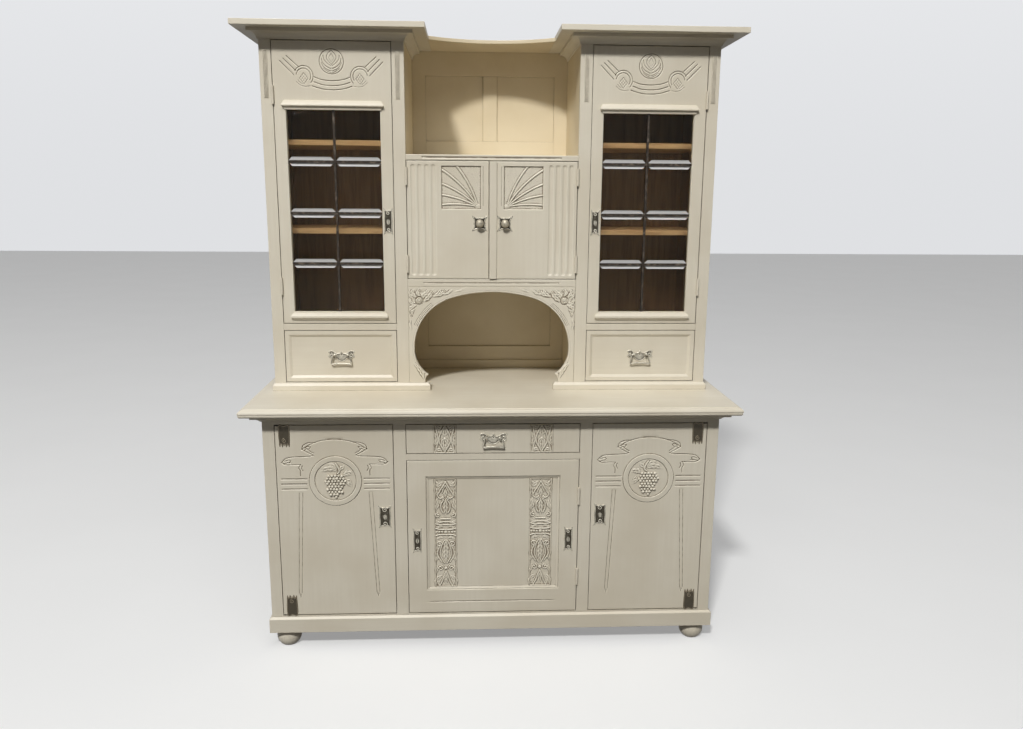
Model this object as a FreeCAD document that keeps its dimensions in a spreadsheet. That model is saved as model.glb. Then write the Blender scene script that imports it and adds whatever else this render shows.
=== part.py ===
# Kitchen hutch: a base cabinet with doors and a drawer, two glazed towers, and a small cabinet
# between open niches. Origin under the middle of the hutch, on the floor; +X to the right, +Y to
# the back, +Z up; millimetres.
import FreeCAD
import Part
import Sketcher
import math
import os

os.makedirs("parts", exist_ok=True)

sizes = {
    # base cabinet
    "base_width": 1550,
    "base_depth": 625,
    "worktop_height": 885,
    "worktop_thickness": 29,
    "worktop_overhang": 63,
    "worktop_nose": 10,
    "foot_height": 63,
    "foot_radius": 43,
    "foot_seat_radius": 28,
    "foot_inset": 47,
    "plinth_height": 57,
    "plinth_thickness": 9,
    "plinth_bevel": 7,
    "side_thickness": 20,
    "face_thickness": 20,
    "back_thickness": 12,
    "floor_thickness": 20,
    "floor_lip": 4,
    "partition_thickness": 20,
    "outer_stile": 39,
    "inner_stile": 41.5,
    "centre_width": 594,
    "top_rail_height": 37,
    "middle_rail_height": 22,
    "base_shelf_rise": 326,
    "shelf_thickness": 18,
    "shelf_setback": 60,
    "bed_projection": 32,
    "bed_height": 25,
    "bed_lip": 4,
    "bed_band": 11,
    # gaps of doors and drawers, and running clearances
    "door_gap": 2,
    "swing_gap": 3,
    "slide_gap": 0.4,
    "pin_gap": 0.06,
    "knuckle_gap": 0.3,
    "cut_overrun": 5,
    # base doors
    "door_thickness": 20,
    "medallion_drop": 196,
    "medallion_radius": 79,
    "medallion_bead": 8,
    "medallion_sink": 3,
    "rib_length": 80,
    "rib_radius": 3.5,
    "rib_spacing": 18,
    "rib_reach": 101,
    "rib_drop": 10,
    "stem_top_reach": 120,
    "stem_foot_reach": 136,
    "stem_top_drop": 38,
    "stem_foot_height": 66,
    "stem_top_radius": 5,
    "stem_foot_radius": 2.5,
    "pivot_inset": 5,
    "pivot_radius": 3,
    "pivot_length": 7,
    "pivot_strap": 2,
    "pivot_strap_depth": 15,
    "pivot_plate_width": 36,
    "pivot_plate_height": 76,
    "pivot_plate_inset": 13,
    "plate_thickness": 2,
    # centre base door
    "centre_stile": 64,
    "centre_top_rail": 58,
    "centre_bottom_rail": 86,
    "centre_groove_height": 41,
    "centre_groove_radius": 2,
    "panel_thickness": 12,
    "panel_recess": 6,
    "strip_width": 76,
    "strip_inset": 28,
    "strip_relief": 4,
    # drawers
    "centre_drawer_height": 101,
    "centre_drawer_room": 113,
    "tower_drawer_height": 184.5,
    "tower_drawer_room": 44,
    "drawer_wall": 12,
    "drawer_bottom": 7,
    "drawer_bottom_rise": 5,
    "drawer_top_drop": 18,
    "drawer_back_drop": 8,
    "drawer_side_gap": 4,
    "runner_width": 46,
    "guide_height": 22,
    "field_border": 14,
    "field_bevel": 9,
    "field_depth": 5,
    # drawer pulls
    "pull_width": 94,
    "pull_height": 42,
    "post_spacing": 44,
    "post_radius": 4.5,
    "post_length": 14,
    "post_rise": 6,
    "bail_radius": 2.5,
    "bail_drop": 34,
    "bail_bend": 7,
    "bail_stand": 9,
    "bail_tail": 2,
    # towers
    "tower_setback": 219,
    "tower_floor_height": 30,
    "tower_rail_height": 23,
    "tower_board": 18,
    "tower_low_shelf_rise": 313.5,
    "tower_high_shelf_rise": 615.5,
    "base_moulding_height": 27,
    "base_moulding_projection": 8,
    "base_moulding_band": 18,
    "base_moulding_lip": 2,
    "fascia_thickness": 18,
    "cornice_projection": 74,
    "cove_height": 32,
    "cove_projection": 31,
    "cove_lip": 4,
    "cove_fillet": 11,
    "crown_thickness": 12,
    "crown_setback": 141,
    "crown_hollow": 70,
    # glazed doors
    "glass_stile": 40,
    "glass_low_rail": 41.5,
    "glass_height": 684,
    "glass_thickness": 4,
    "came_width": 8,
    "came_depth": 10,
    "hood_overlap": 13,
    "hood_height": 30,
    "hood_projection": 12,
    "hood_band": 9,
    "sill_height": 25,
    "sill_drop": 5,
    "sill_projection": 10,
    "sill_band": 8,
    # centre cabinet and niches
    "niche_back_thickness": 15,
    "niche_panel_thickness": 8,
    "niche_stile": 50,
    "niche_middle_stile": 54,
    "niche_top_rail": 88,
    "niche_low_rail": 67,
    "niche_height": 396,
    "niche_shelf_thickness": 19,
    "counter_rail": 90,
    "skirting_height": 34,
    "skirting_projection": 8,
    "cabinet_height": 408,
    "cabinet_floor_thickness": 26,
    "meeting_offset": 11.5,
    "meeting_strip_width": 26,
    "meeting_strip_relief": 6,
    "flute_first": 23,
    "flute_spacing": 23.5,
    "flute_radius": 8,
    "flute_depth": 4,
    "flute_margin": 12,
    "ray_panel_inset": 39,
    "ray_panel_width": 138,
    "ray_panel_height": 147,
    "ray_panel_margin": 16,
    "ray_panel_depth": 4,
    "arch_height": 374,
    "arch_drop": 19,
    "arch_margin": 20,
    "arch_foot_margin": 67,
    "arch_foot_height": 56,
    "arch_notch": 10,
    "arch_notch_height": 34,
    "arch_waist_height": 145,
    "arch_waist_run": 9,
    "arch_crown_margin": 154,
    "arch_crown_rise": 21,
    # locks, knobs and hinges
    "lock_plate_width": 32,
    "lock_plate_height": 92,
    "base_lock_plate_width": 44,
    "base_lock_plate_height": 82,
    "base_lock_rise": 362,
    "glass_lock_rise": 356.5,
    "centre_lock_rise": 272,
    "keyhole_radius": 2.6,
    "keyhole_length": 9,
    "lock_case_width": 34,
    "lock_case_height": 62,
    "lock_case_thickness": 12,
    "rose_size": 54,
    "rose_offset": 44,
    "knob_drop": 48,
    "knob_radius": 14,
    "knob_neck_radius": 6,
    "knob_length": 26,
    "knob_neck_length": 9,
    "spindle_radius": 4,
    "tongue_length": 64,
    "tongue_width": 14,
    "tongue_thickness": 4,
    "tongue_gap": 1,
    "knuckle_radius": 4.5,
    "knuckle_height": 24,
    "pin_radius": 2,
    "leaf_thickness": 0.8,
    "leaf_width": 17,
    "leaf_height": 60,
    "hinge_low_rise": 131,
    "hinge_top_drop": 174,
    "small_hinge_inset": 52,
}

doc = FreeCAD.newDocument("kitchen_hutch")
sheet = doc.addObject("Spreadsheet::Sheet", "sizes")
for row, (name, value) in enumerate(sizes.items(), start=1):
    sheet.set(f"A{row}", name)
    sheet.set(f"B{row}", str(value))
    sheet.setAlias(f"B{row}", name)
doc.recompute()


def text_of(length):
    return length.text if isinstance(length, Length) else repr(length)


def number_of(length):
    return length.value if isinstance(length, Length) else length


class Length:
    """A length worked out from the sheet: its number, and the expression that gives it."""

    def __init__(self, value, text):
        self.value = value
        self.text = text

    def __add__(self, other):
        return Length(self.value + number_of(other), f"({self.text} + {text_of(other)})")

    def __radd__(self, other):
        return Length(number_of(other) + self.value, f"({text_of(other)} + {self.text})")

    def __sub__(self, other):
        return Length(self.value - number_of(other), f"({self.text} - {text_of(other)})")

    def __rsub__(self, other):
        return Length(number_of(other) - self.value, f"({text_of(other)} - {self.text})")

    def __mul__(self, other):
        return Length(self.value * number_of(other), f"({self.text} * {text_of(other)})")

    def __rmul__(self, other):
        return Length(number_of(other) * self.value, f"({text_of(other)} * {self.text})")

    def __truediv__(self, other):
        return Length(self.value / number_of(other), f"({self.text} / {text_of(other)})")

    def __neg__(self):
        return Length(-self.value, f"(-{self.text})")


class SheetSizes:
    """Gives each size of the sheet by its alias."""

    def __getattr__(self, name):
        return Length(sizes[name], f"sizes.{name}")


s = SheetSizes()
nodes = []
sides = {"left": -1, "right": 1}


# Helpers: binding, boards, sketches and groups
def bind(thing, prop, length):
    if isinstance(length, Length):
        thing.setExpression(prop, length.text)


def place(thing, x=0, y=0, z=0):
    for axis, length in zip("xyz", (x, y, z)):
        bind(thing, f"Placement.Base.{axis}", length)
    return thing


def board(name, x, y, z):
    box = doc.addObject("Part::Box", name)
    for prop, (low, high) in zip(("Length", "Width", "Height"), (x, y, z)):
        bind(box, prop, high - low)
    return place(box, x[0], y[0], z[0])


def across(side, inner, outer):
    """The span in X from inner to outer, on the left (-1) or right (1) half."""
    return (-outer, -inner) if side < 0 else (inner, outer)


def middle(span):
    return (span[0] + span[1]) / 2


def about(centre, size):
    """The span of a size, centred."""
    return (centre - size / 2, centre + size / 2)


def mirrored_span(reach):
    return (-reach, reach)


def turned(thing, axis, degrees):
    thing.Placement = FreeCAD.Placement(FreeCAD.Vector(), FreeCAD.Rotation(FreeCAD.Vector(*axis), degrees))
    return thing


def cylinder(name, radius, length, axis="z"):
    rod = doc.addObject("Part::Cylinder", name)
    bind(rod, "Radius", radius)
    bind(rod, "Height", length)
    if axis == "x":
        turned(rod, (0, 1, 0), 90)
    if axis == "y":
        turned(rod, (1, 0, 0), -90)
    return rod


def fuse(name, *pieces):
    whole = doc.addObject("Part::MultiFuse", name)
    whole.Shapes = list(pieces)
    whole.Refine = True
    return whole


def cut(name, base, *tools):
    tool = tools[0]
    if len(tools) > 1:
        tool = doc.addObject("Part::Compound", name + "_tools")
        tool.Links = list(tools)
    rest = doc.addObject("Part::Cut", name)
    rest.Base = base
    rest.Tool = tool
    return rest


def node(label, *pieces):
    whole = pieces[0]
    if len(pieces) > 1:
        whole = doc.addObject("Part::Compound", label)
        whole.Links = list(pieces)
    whole.Label = label
    nodes.append(whole)
    return whole


def sketch_on(body, role, offset):
    sketch = body.newObject("Sketcher::SketchObject", body.Name + "_sketch")
    plane = next(item for item in body.Origin.OriginFeatures if item.Role == role)
    sketch.AttachmentSupport = [(plane, "")]
    sketch.MapMode = "FlatFace"
    bind(sketch, "AttachmentOffset.Base.z", offset)
    return sketch


def pin_point(sketch, edge, end, point):
    """Ties one end of an edge to its two coordinates."""
    for kind, axis, length in zip(("DistanceX", "DistanceY"), (-2, -1), point):
        if isinstance(length, Length):
            constraint = Sketcher.Constraint(kind, -1, 1, edge, end, length.value)
            sketch.setExpression(f"Constraints[{sketch.addConstraint(constraint)}]", length.text)
        else:
            sketch.addConstraint(Sketcher.Constraint("PointOnObject", edge, end, axis))


def arc_edge(start, end, radius, bulge):
    """An arc from start to end, bulging to the left (1) or right (-1) of the way from one to the other."""
    chord = end - start
    half = chord.Length / 2
    across_way = FreeCAD.Vector(-chord.y, chord.x, 0).normalize()
    rise = math.sqrt(max(radius * radius - half * half, 0.0))
    centre = (start + end) / 2 - across_way * rise * bulge
    circle = Part.Circle(centre, FreeCAD.Vector(0, 0, 1), radius)
    first, last = (start, end) if bulge < 0 else (end, start)
    angles = [math.atan2(p.y - centre.y, p.x - centre.x) for p in (first, last)]
    return Part.ArcOfCircle(circle, angles[0], angles[1])


def draw(sketch, points, closed=True):
    """Lines and arcs through points (u, v) or (u, v, radius, bulge); an arc leads to the next point."""
    spots = [FreeCAD.Vector(number_of(p[0]), number_of(p[1]), 0) for p in points]
    count = len(points) if closed else len(points) - 1
    starts, ends = [], []
    for index in range(count):
        start, end = spots[index], spots[(index + 1) % len(points)]
        point = points[index]
        if len(point) == 2:
            sketch.addGeometry(Part.LineSegment(start, end), False)
            starts.append(1)
            ends.append(2)
            continue
        radius, bulge = point[2:]
        sketch.addGeometry(arc_edge(start, end, number_of(radius), bulge), False)
        starts.append(1 if bulge < 0 else 2)
        ends.append(2 if bulge < 0 else 1)
        constraint = sketch.addConstraint(Sketcher.Constraint("Radius", index, number_of(radius)))
        bind(sketch, f"Constraints[{constraint}]", radius)
    for index in range(count):
        following = (index + 1) % len(points)
        if following < count:
            link = Sketcher.Constraint("Coincident", index, ends[index], following, starts[following])
            sketch.addConstraint(link)
        pin_point(sketch, index, starts[index], points[index][:2])
    if not closed:
        pin_point(sketch, count - 1, ends[-1], points[-1][:2])
    return sketch


def padded(name, role, offset, depth, points, back=False):
    """A body made by padding one outline; back pads against the plane's normal."""
    body = doc.addObject("PartDesign::Body", name)
    sketch = draw(sketch_on(body, role, offset), points)
    pad = body.newObject("PartDesign::Pad", name + "_pad")
    pad.Profile = sketch
    bind(pad, "Length", depth)
    pad.Reversed = back
    sketch.Visibility = False
    return body


def revolved(name, points):
    """A body turned about Z from points (radius, height)."""
    body = doc.addObject("PartDesign::Body", name)
    sketch = draw(sketch_on(body, "XZ_Plane", 0), points)
    turn = body.newObject("PartDesign::Revolution", name + "_turn")
    turn.Profile = sketch
    turn.ReferenceAxis = (sketch, ["V_Axis"])
    return body


def moulding(name, route, profile):
    """A moulding swept round a route that starts along Y: profile points are (projection, height)."""
    body = doc.addObject("PartDesign::Body", name)
    start = route[0]
    outward = -1 if number_of(route[0][0]) < 0 else 1
    path = draw(sketch_on(body, "XY_Plane", profile[0][1]), route, closed=False)
    points = []
    for point in profile:
        bulge = [point[2], point[3] * outward] if len(point) > 2 else []
        points.append((start[0] + outward * point[0], point[1], *bulge))
    section = draw(sketch_on(body, "XZ_Plane", -start[1]), points)
    pipe = body.newObject("PartDesign::AdditivePipe", name + "_pipe")
    pipe.Profile = section
    pipe.Spine = (path, [f"Edge{number}" for number in range(1, len(route))])
    pipe.Transition = "Right corner"
    return body


def arc_radius(run, rise):
    """The radius of an arc that leaves square to rise and has covered run when it has risen by rise."""
    return (run * run + rise * rise) / (2 * rise)


# Main planes and levels
half = s.base_width / 2
centre_half = s.centre_width / 2
front = (s.worktop_overhang - s.base_depth) / 2
rear = (s.worktop_overhang + s.base_depth) / 2
back_front = rear - s.back_thickness
face_back = front + s.face_thickness
outer_opening = half - s.outer_stile
inner_opening = centre_half + s.inner_stile
plinth_top = s.foot_height + s.plinth_height
floor_top = plinth_top + s.floor_lip
floor_low = floor_top - s.floor_thickness
worktop_low = s.worktop_height - s.worktop_thickness
rail_low = worktop_low - s.top_rail_height
door_low = floor_top + s.swing_gap
door_high = rail_low - s.swing_gap
drawer_low = door_high - s.centre_drawer_height
middle_rail_high = drawer_low - s.door_gap
middle_rail_low = middle_rail_high - s.middle_rail_height
centre_door_high = middle_rail_low - s.door_gap
partition_inner = centre_half + (s.inner_stile - s.partition_thickness) / 2
partition_outer = partition_inner + s.partition_thickness
tower_front = front + s.tower_setback
tower_back = tower_front + s.face_thickness
tower_floor = s.worktop_height + s.tower_floor_height
tower_drawer_low = tower_floor + s.door_gap
tower_drawer_high = tower_drawer_low + s.tower_drawer_height
tower_rail_low = tower_drawer_high + s.door_gap
tower_rail_high = tower_rail_low + s.tower_rail_height
glass_door_low = tower_rail_high + s.door_gap
cabinet_floor_low = s.worktop_height + s.arch_height
cabinet_floor_high = cabinet_floor_low + s.cabinet_floor_thickness
niche_shelf_low = cabinet_floor_high + s.cabinet_height
niche_shelf_high = niche_shelf_low + s.niche_shelf_thickness
fascia_low = niche_shelf_high + s.niche_height
hutch_top = fascia_low + s.fascia_thickness
cove_low = fascia_low - s.cove_height
glass_door_high = cove_low - s.door_gap
tower_inside = centre_half + s.side_thickness
side_inside = half - s.side_thickness
niche_back = rear - s.niche_back_thickness
small_door_low = cabinet_floor_high + s.door_gap
small_door_high = niche_shelf_low - s.door_gap
outer_door = (inner_opening + s.door_gap, outer_opening - s.door_gap)
front_slab = (front, front + s.door_thickness)
tower_slab = (tower_front, tower_front + s.door_thickness)


# Feet, plinth and base cabinet
def bun_foot(name, x, y):
    swell = s.foot_height / 2
    reach = s.foot_radius - s.foot_seat_radius
    bulge_radius = arc_radius(swell, reach)
    body = revolved(name, [
        (0, 0),
        (s.foot_seat_radius, 0, bulge_radius, -1),
        (s.foot_radius, swell, bulge_radius, -1),
        (s.foot_seat_radius, s.foot_height),
        (0, s.foot_height),
    ])
    return place(body, x, y)


foot_x = half - s.foot_inset
feet = []
for end, foot_y in {"front": front + s.foot_inset, "rear": rear - s.foot_inset}.items():
    for side_name, side in sides.items():
        feet.append(bun_foot(f"{side_name}_{end}_foot", side * foot_x, foot_y))
node("bun_feet", *feet)

node("plinth", moulding(
    "plinth_facing",
    [(-half, rear), (-half, front), (half, front), (half, rear)],
    [
        (0, s.foot_height),
        (s.plinth_thickness, s.foot_height),
        (s.plinth_thickness, plinth_top - s.plinth_bevel),
        (s.plinth_thickness - s.plinth_bevel, plinth_top),
        (0, plinth_top),
    ]))

node("base_sides", *[
    board(f"{name}_base_side", across(side, side_inside, half), (face_back, back_front),
          (s.foot_height, worktop_low))
    for name, side in sides.items()])

pivot_x = outer_door[1] - s.pivot_inset
pivot_y = front + s.pivot_inset


def pivot_holes(name, low, length):
    radius = s.pivot_radius + s.pin_gap
    return [
        place(cylinder(f"{side_name}_{name}_hole", radius, length), side * pivot_x, pivot_y, low)
        for side_name, side in sides.items()]


floor_board = padded("floor_board", "XY_Plane", floor_low, s.floor_thickness, [
    (-outer_opening, front), (outer_opening, front), (outer_opening, face_back), (side_inside, face_back),
    (side_inside, back_front), (-side_inside, back_front), (-side_inside, face_back),
    (-outer_opening, face_back)])
socket_depth = s.pivot_length + s.slide_gap
node("base_floor", cut("drilled_floor", floor_board,
                       *pivot_holes("floor", floor_top - socket_depth, socket_depth + s.cut_overrun)))

node("base_partitions", *[
    board(f"{name}_partition", across(side, partition_inner, partition_outer), (face_back, back_front),
          (floor_top, worktop_low))
    for name, side in sides.items()])

frame_depth = (front, face_back)
rail_span = mirrored_span(outer_opening)
top_rail = board("plain_top_rail", rail_span, frame_depth, (rail_low, worktop_low))
base_frame = [
    cut("base_top_rail", top_rail,
        *pivot_holes("rail", rail_low - s.cut_overrun, socket_depth + s.cut_overrun)),
    board("base_bottom_rail", rail_span, frame_depth, (s.foot_height, floor_low)),
    board("base_middle_rail", mirrored_span(centre_half), frame_depth, (middle_rail_low, middle_rail_high)),
]
for side_name, side in sides.items():
    base_frame.append(board(f"{side_name}_outer_stile", across(side, outer_opening, half),
                            frame_depth, (s.foot_height, worktop_low)))
    base_frame.append(board(f"{side_name}_inner_stile", across(side, centre_half, inner_opening),
                            frame_depth, (floor_top, rail_low)))
node("base_face_frame", *base_frame)


def shelf(name, x, y_front, low):
    return board(name, x, (y_front, back_front), (low, low + s.shelf_thickness))


shelf_front = front + s.shelf_setback
base_shelf_low = floor_top + s.base_shelf_rise
tower_shelf_front = tower_front + s.shelf_setback
shelves = [shelf("centre_base_shelf", (-partition_inner, partition_inner), shelf_front, base_shelf_low)]
for side_name, side in sides.items():
    shelves.append(shelf(f"{side_name}_base_shelf", across(side, partition_outer, side_inside),
                         shelf_front, base_shelf_low))
    for level, rise in {"low": s.tower_low_shelf_rise, "high": s.tower_high_shelf_rise}.items():
        shelves.append(shelf(f"{side_name}_{level}_shelf", across(side, tower_inside, side_inside),
                             tower_shelf_front, tower_rail_high + rise))
node("shelves", *shelves)

runners = []
for side_name, side in sides.items():
    runner_inner = partition_inner - s.runner_width
    runners.append(board(f"{side_name}_runner", across(side, runner_inner, partition_inner),
                         (face_back, back_front), (middle_rail_low, middle_rail_high)))
    runners.append(board(f"{side_name}_guide", across(side, centre_half - s.door_gap, partition_inner),
                         (face_back, back_front), (middle_rail_high, middle_rail_high + s.guide_height)))
    runners.append(board(f"{side_name}_inner_tower_guide", across(side, tower_inside, inner_opening),
                         (tower_back, back_front), (tower_floor, tower_floor + s.guide_height)))
    runners.append(board(f"{side_name}_outer_tower_guide", across(side, outer_opening, side_inside),
                         (tower_back, back_front), (tower_floor, tower_floor + s.guide_height)))
node("drawer_runners", *runners)

back_boards = [board("base_back", (-half, half), (back_front, rear), (s.foot_height, worktop_low))]
back_boards += [
    board(f"{name}_tower_back", across(side, centre_half, half), (back_front, rear),
          (s.worktop_height, fascia_low))
    for name, side in sides.items()]
node("back_boards", *back_boards)

# Worktop with a rounded nose on its front and side edges
worktop_half = half + s.worktop_overhang
worktop_front = front - s.worktop_overhang
slab = padded("worktop_slab", "XY_Plane", worktop_low, s.worktop_thickness, [
    (-worktop_half, worktop_front), (worktop_half, worktop_front),
    (worktop_half, rear), (-worktop_half, rear)])
doc.recompute()


def on_worktop_nose(edge):
    spot = edge.CenterOfMass
    at_top = abs(spot.z - s.worktop_height.value) < s.cut_overrun.value
    return at_top and spot.y < rear.value - s.cut_overrun.value


square_slab = slab.Tip
nose_edges = [number for number, edge in enumerate(square_slab.Shape.Edges, start=1) if on_worktop_nose(edge)]
nose = slab.newObject("PartDesign::Fillet", "worktop_nose")
nose.Base = (square_slab, [f"Edge{number}" for number in nose_edges])
bind(nose, "Radius", s.worktop_nose)
node("worktop", slab)

bed_low = worktop_low - s.bed_height
bed_step = s.bed_height - s.bed_band
node("bed_moulding", moulding(
    "bed_mould",
    [(-half, rear), (-half, front), (half, front), (half, rear)],
    [
        (0, bed_low),
        (s.bed_lip, bed_low, arc_radius(s.bed_projection - s.bed_lip, bed_step), 1),
        (s.bed_projection, bed_low + bed_step),
        (s.bed_projection, worktop_low),
        (0, worktop_low),
    ]))


# Towers: cases, frames, mouldings and cornices
cases, tower_frames, base_mouldings, cornices = [], [], [], []
arch_foot_half = centre_half - s.arch_foot_margin
for side_name, side in sides.items():
    case_depth = (tower_back, back_front)
    inside = across(side, tower_inside, side_inside)
    cases += [
        board(f"{side_name}_tower_outer_side", across(side, side_inside, half), case_depth,
              (s.worktop_height, fascia_low)),
        board(f"{side_name}_tower_inner_side", across(side, centre_half, tower_inside), case_depth,
              (s.worktop_height, fascia_low)),
        board(f"{side_name}_tower_floor", inside, case_depth, (tower_floor - s.tower_board, tower_floor)),
        board(f"{side_name}_tower_divider", inside, case_depth,
              (tower_rail_high - s.tower_board, tower_rail_high)),
        board(f"{side_name}_tower_top", inside, case_depth, (cove_low, cove_low + s.tower_board)),
    ]
    tower_frame_depth = (tower_front, tower_back)
    between = across(side, inner_opening, outer_opening)
    tower_frames += [
        board(f"{side_name}_tower_outer_stile", across(side, outer_opening, half), tower_frame_depth,
              (s.worktop_height, fascia_low)),
        board(f"{side_name}_tower_inner_stile", across(side, centre_half, inner_opening), tower_frame_depth,
              (s.worktop_height, fascia_low)),
        board(f"{side_name}_tower_low_rail", between, tower_frame_depth, (s.worktop_height, tower_floor)),
        board(f"{side_name}_tower_middle_rail", between, tower_frame_depth,
              (tower_rail_low, tower_rail_high)),
        board(f"{side_name}_tower_top_rail", between, tower_frame_depth, (cove_low, fascia_low)),
    ]
    foot_end = side * arch_foot_half
    base_mouldings.append(moulding(
        f"{side_name}_tower_base_moulding",
        [(side * half, rear), (side * half, tower_front), (foot_end, tower_front), (foot_end, tower_back)],
        [
            (0, s.worktop_height),
            (s.base_moulding_projection, s.worktop_height),
            (s.base_moulding_projection, s.worktop_height + s.base_moulding_band),
            (s.base_moulding_lip, s.worktop_height + s.base_moulding_height),
            (0, s.worktop_height + s.base_moulding_height),
        ]))
    cornices.append(board(f"{side_name}_fascia",
                          across(side, centre_half - s.cornice_projection, half + s.cornice_projection),
                          (tower_front - s.cornice_projection, rear), (fascia_low, hutch_top)))
    cove_run = s.cove_projection - s.cove_lip
    cornices.append(moulding(
        f"{side_name}_cove",
        [(side * half, rear), (side * half, tower_front), (side * centre_half, tower_front),
         (side * centre_half, niche_back)],
        [
            (0, cove_low),
            (s.cove_lip, cove_low, arc_radius(s.cove_height - s.cove_fillet, cove_run), 1),
            (s.cove_projection, fascia_low - s.cove_fillet),
            (s.cove_projection, fascia_low),
            (0, fascia_low),
        ]))
node("tower_cases", *cases)
node("tower_face_frames", *tower_frames)
node("tower_base_mouldings", *base_mouldings)
node("tower_cornices", *cornices)

# Crown board with a hollow front edge between the cornices
crown_half = centre_half - s.cornice_projection
crown_front = tower_front + s.crown_setback
node("crown_board", padded("crown", "XY_Plane", fascia_low, s.crown_thickness, [
    (-crown_half, crown_front, arc_radius(crown_half, s.crown_hollow), 1),
    (crown_half, crown_front), (crown_half, rear), (-crown_half, rear)]))

# Framed back of the niches, with a skirting over the worktop
panel_half = centre_half - s.niche_stile
frame_back = (niche_back, rear)
panel_back = (rear - s.niche_panel_thickness, rear)
low_rail_high = niche_shelf_high + s.niche_low_rail
top_rail_low = fascia_low - s.niche_top_rail
counter_rail_high = s.worktop_height + s.counter_rail
middle_half = s.niche_middle_stile / 2
back_span = mirrored_span(panel_half)
back_pieces = [
    board("niche_top_rail", back_span, frame_back, (top_rail_low, fascia_low)),
    board("niche_low_rail", back_span, frame_back, (niche_shelf_low, low_rail_high)),
    board("niche_middle_stile", (-middle_half, middle_half), frame_back, (low_rail_high, top_rail_low)),
    board("cabinet_back_rail", back_span, frame_back, (cabinet_floor_low, cabinet_floor_high)),
    board("counter_back_rail", back_span, frame_back, (s.worktop_height, counter_rail_high)),
    board("cabinet_back_panel", back_span, panel_back, (cabinet_floor_high, niche_shelf_low)),
    board("counter_back_panel", back_span, panel_back, (counter_rail_high, cabinet_floor_low)),
    board("counter_skirting", (-centre_half, centre_half), (niche_back - s.skirting_projection, niche_back),
          (s.worktop_height, s.worktop_height + s.skirting_height)),
]
for side_name, side in sides.items():
    back_pieces.append(board(f"{side_name}_niche_stile", across(side, panel_half, centre_half), frame_back,
                             (s.worktop_height, fascia_low)))
    back_pieces.append(board(f"{side_name}_niche_panel", across(side, middle_half, panel_half), panel_back,
                             (low_rail_high, top_rail_low)))
node("niche_back", *back_pieces)

centre_span = (-centre_half, centre_half)
node("niche_shelf", board("niche_shelf_board", centre_span, (tower_front, niche_back),
                          (niche_shelf_low, niche_shelf_high)))
node("cabinet_floor", board("cabinet_floor_board", centre_span, (tower_front, niche_back),
                            (cabinet_floor_low, cabinet_floor_high)))

# Arch panel: a flat crown, round shoulders and feet that draw in to a point over the worktop
arch_half = centre_half - s.arch_margin
arch_crown_half = centre_half - s.arch_crown_margin
arch_crown = cabinet_floor_low - s.arch_drop
arch_spring = arch_crown - s.arch_crown_rise
arch_waist = s.worktop_height + s.arch_waist_height
arch_shoulder = arch_waist + s.arch_waist_run
arch_foot = s.worktop_height + s.arch_foot_height
shoulder_radius = arc_radius(arch_spring - arch_shoulder, arch_half - arch_crown_half)
foot_radius = arc_radius(arch_waist - arch_foot, arch_half - arch_foot_half)
crown_radius = arc_radius(arch_crown_half, s.arch_crown_rise)
block_top = s.worktop_height + s.base_moulding_height
arch_notch = arch_foot_half + s.arch_notch
notch_high = s.worktop_height + s.arch_notch_height
notch_radius = arc_radius(arch_foot - notch_high, s.arch_notch)
node("arch_panel", padded("arch", "XZ_Plane", -tower_front, s.face_thickness, [
    (centre_half, s.worktop_height),
    (centre_half, cabinet_floor_low),
    (-centre_half, cabinet_floor_low),
    (-centre_half, s.worktop_height),
    (-arch_foot_half, s.worktop_height),
    (-arch_foot_half, block_top),
    (-arch_notch, block_top),
    (-arch_notch, notch_high, notch_radius, 1),
    (-arch_foot_half, arch_foot, foot_radius, 1),
    (-arch_half, arch_waist),
    (-arch_half, arch_shoulder, shoulder_radius, 1),
    (-arch_crown_half, arch_spring, crown_radius, 1),
    (arch_crown_half, arch_spring, shoulder_radius, 1),
    (arch_half, arch_shoulder),
    (arch_half, arch_waist, foot_radius, 1),
    (arch_foot_half, arch_foot, notch_radius, 1),
    (arch_notch, notch_high),
    (arch_notch, block_top),
    (arch_foot_half, block_top),
    (arch_foot_half, s.worktop_height),
], back=True))

# Hinges, locks and roses
frame_leaves = []


def offset_span(x, way, near, far):
    """The span from near to far of x, on its left (-1) or right (1)."""
    return (x - far, x - near) if way < 0 else (x + near, x + far)


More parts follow.
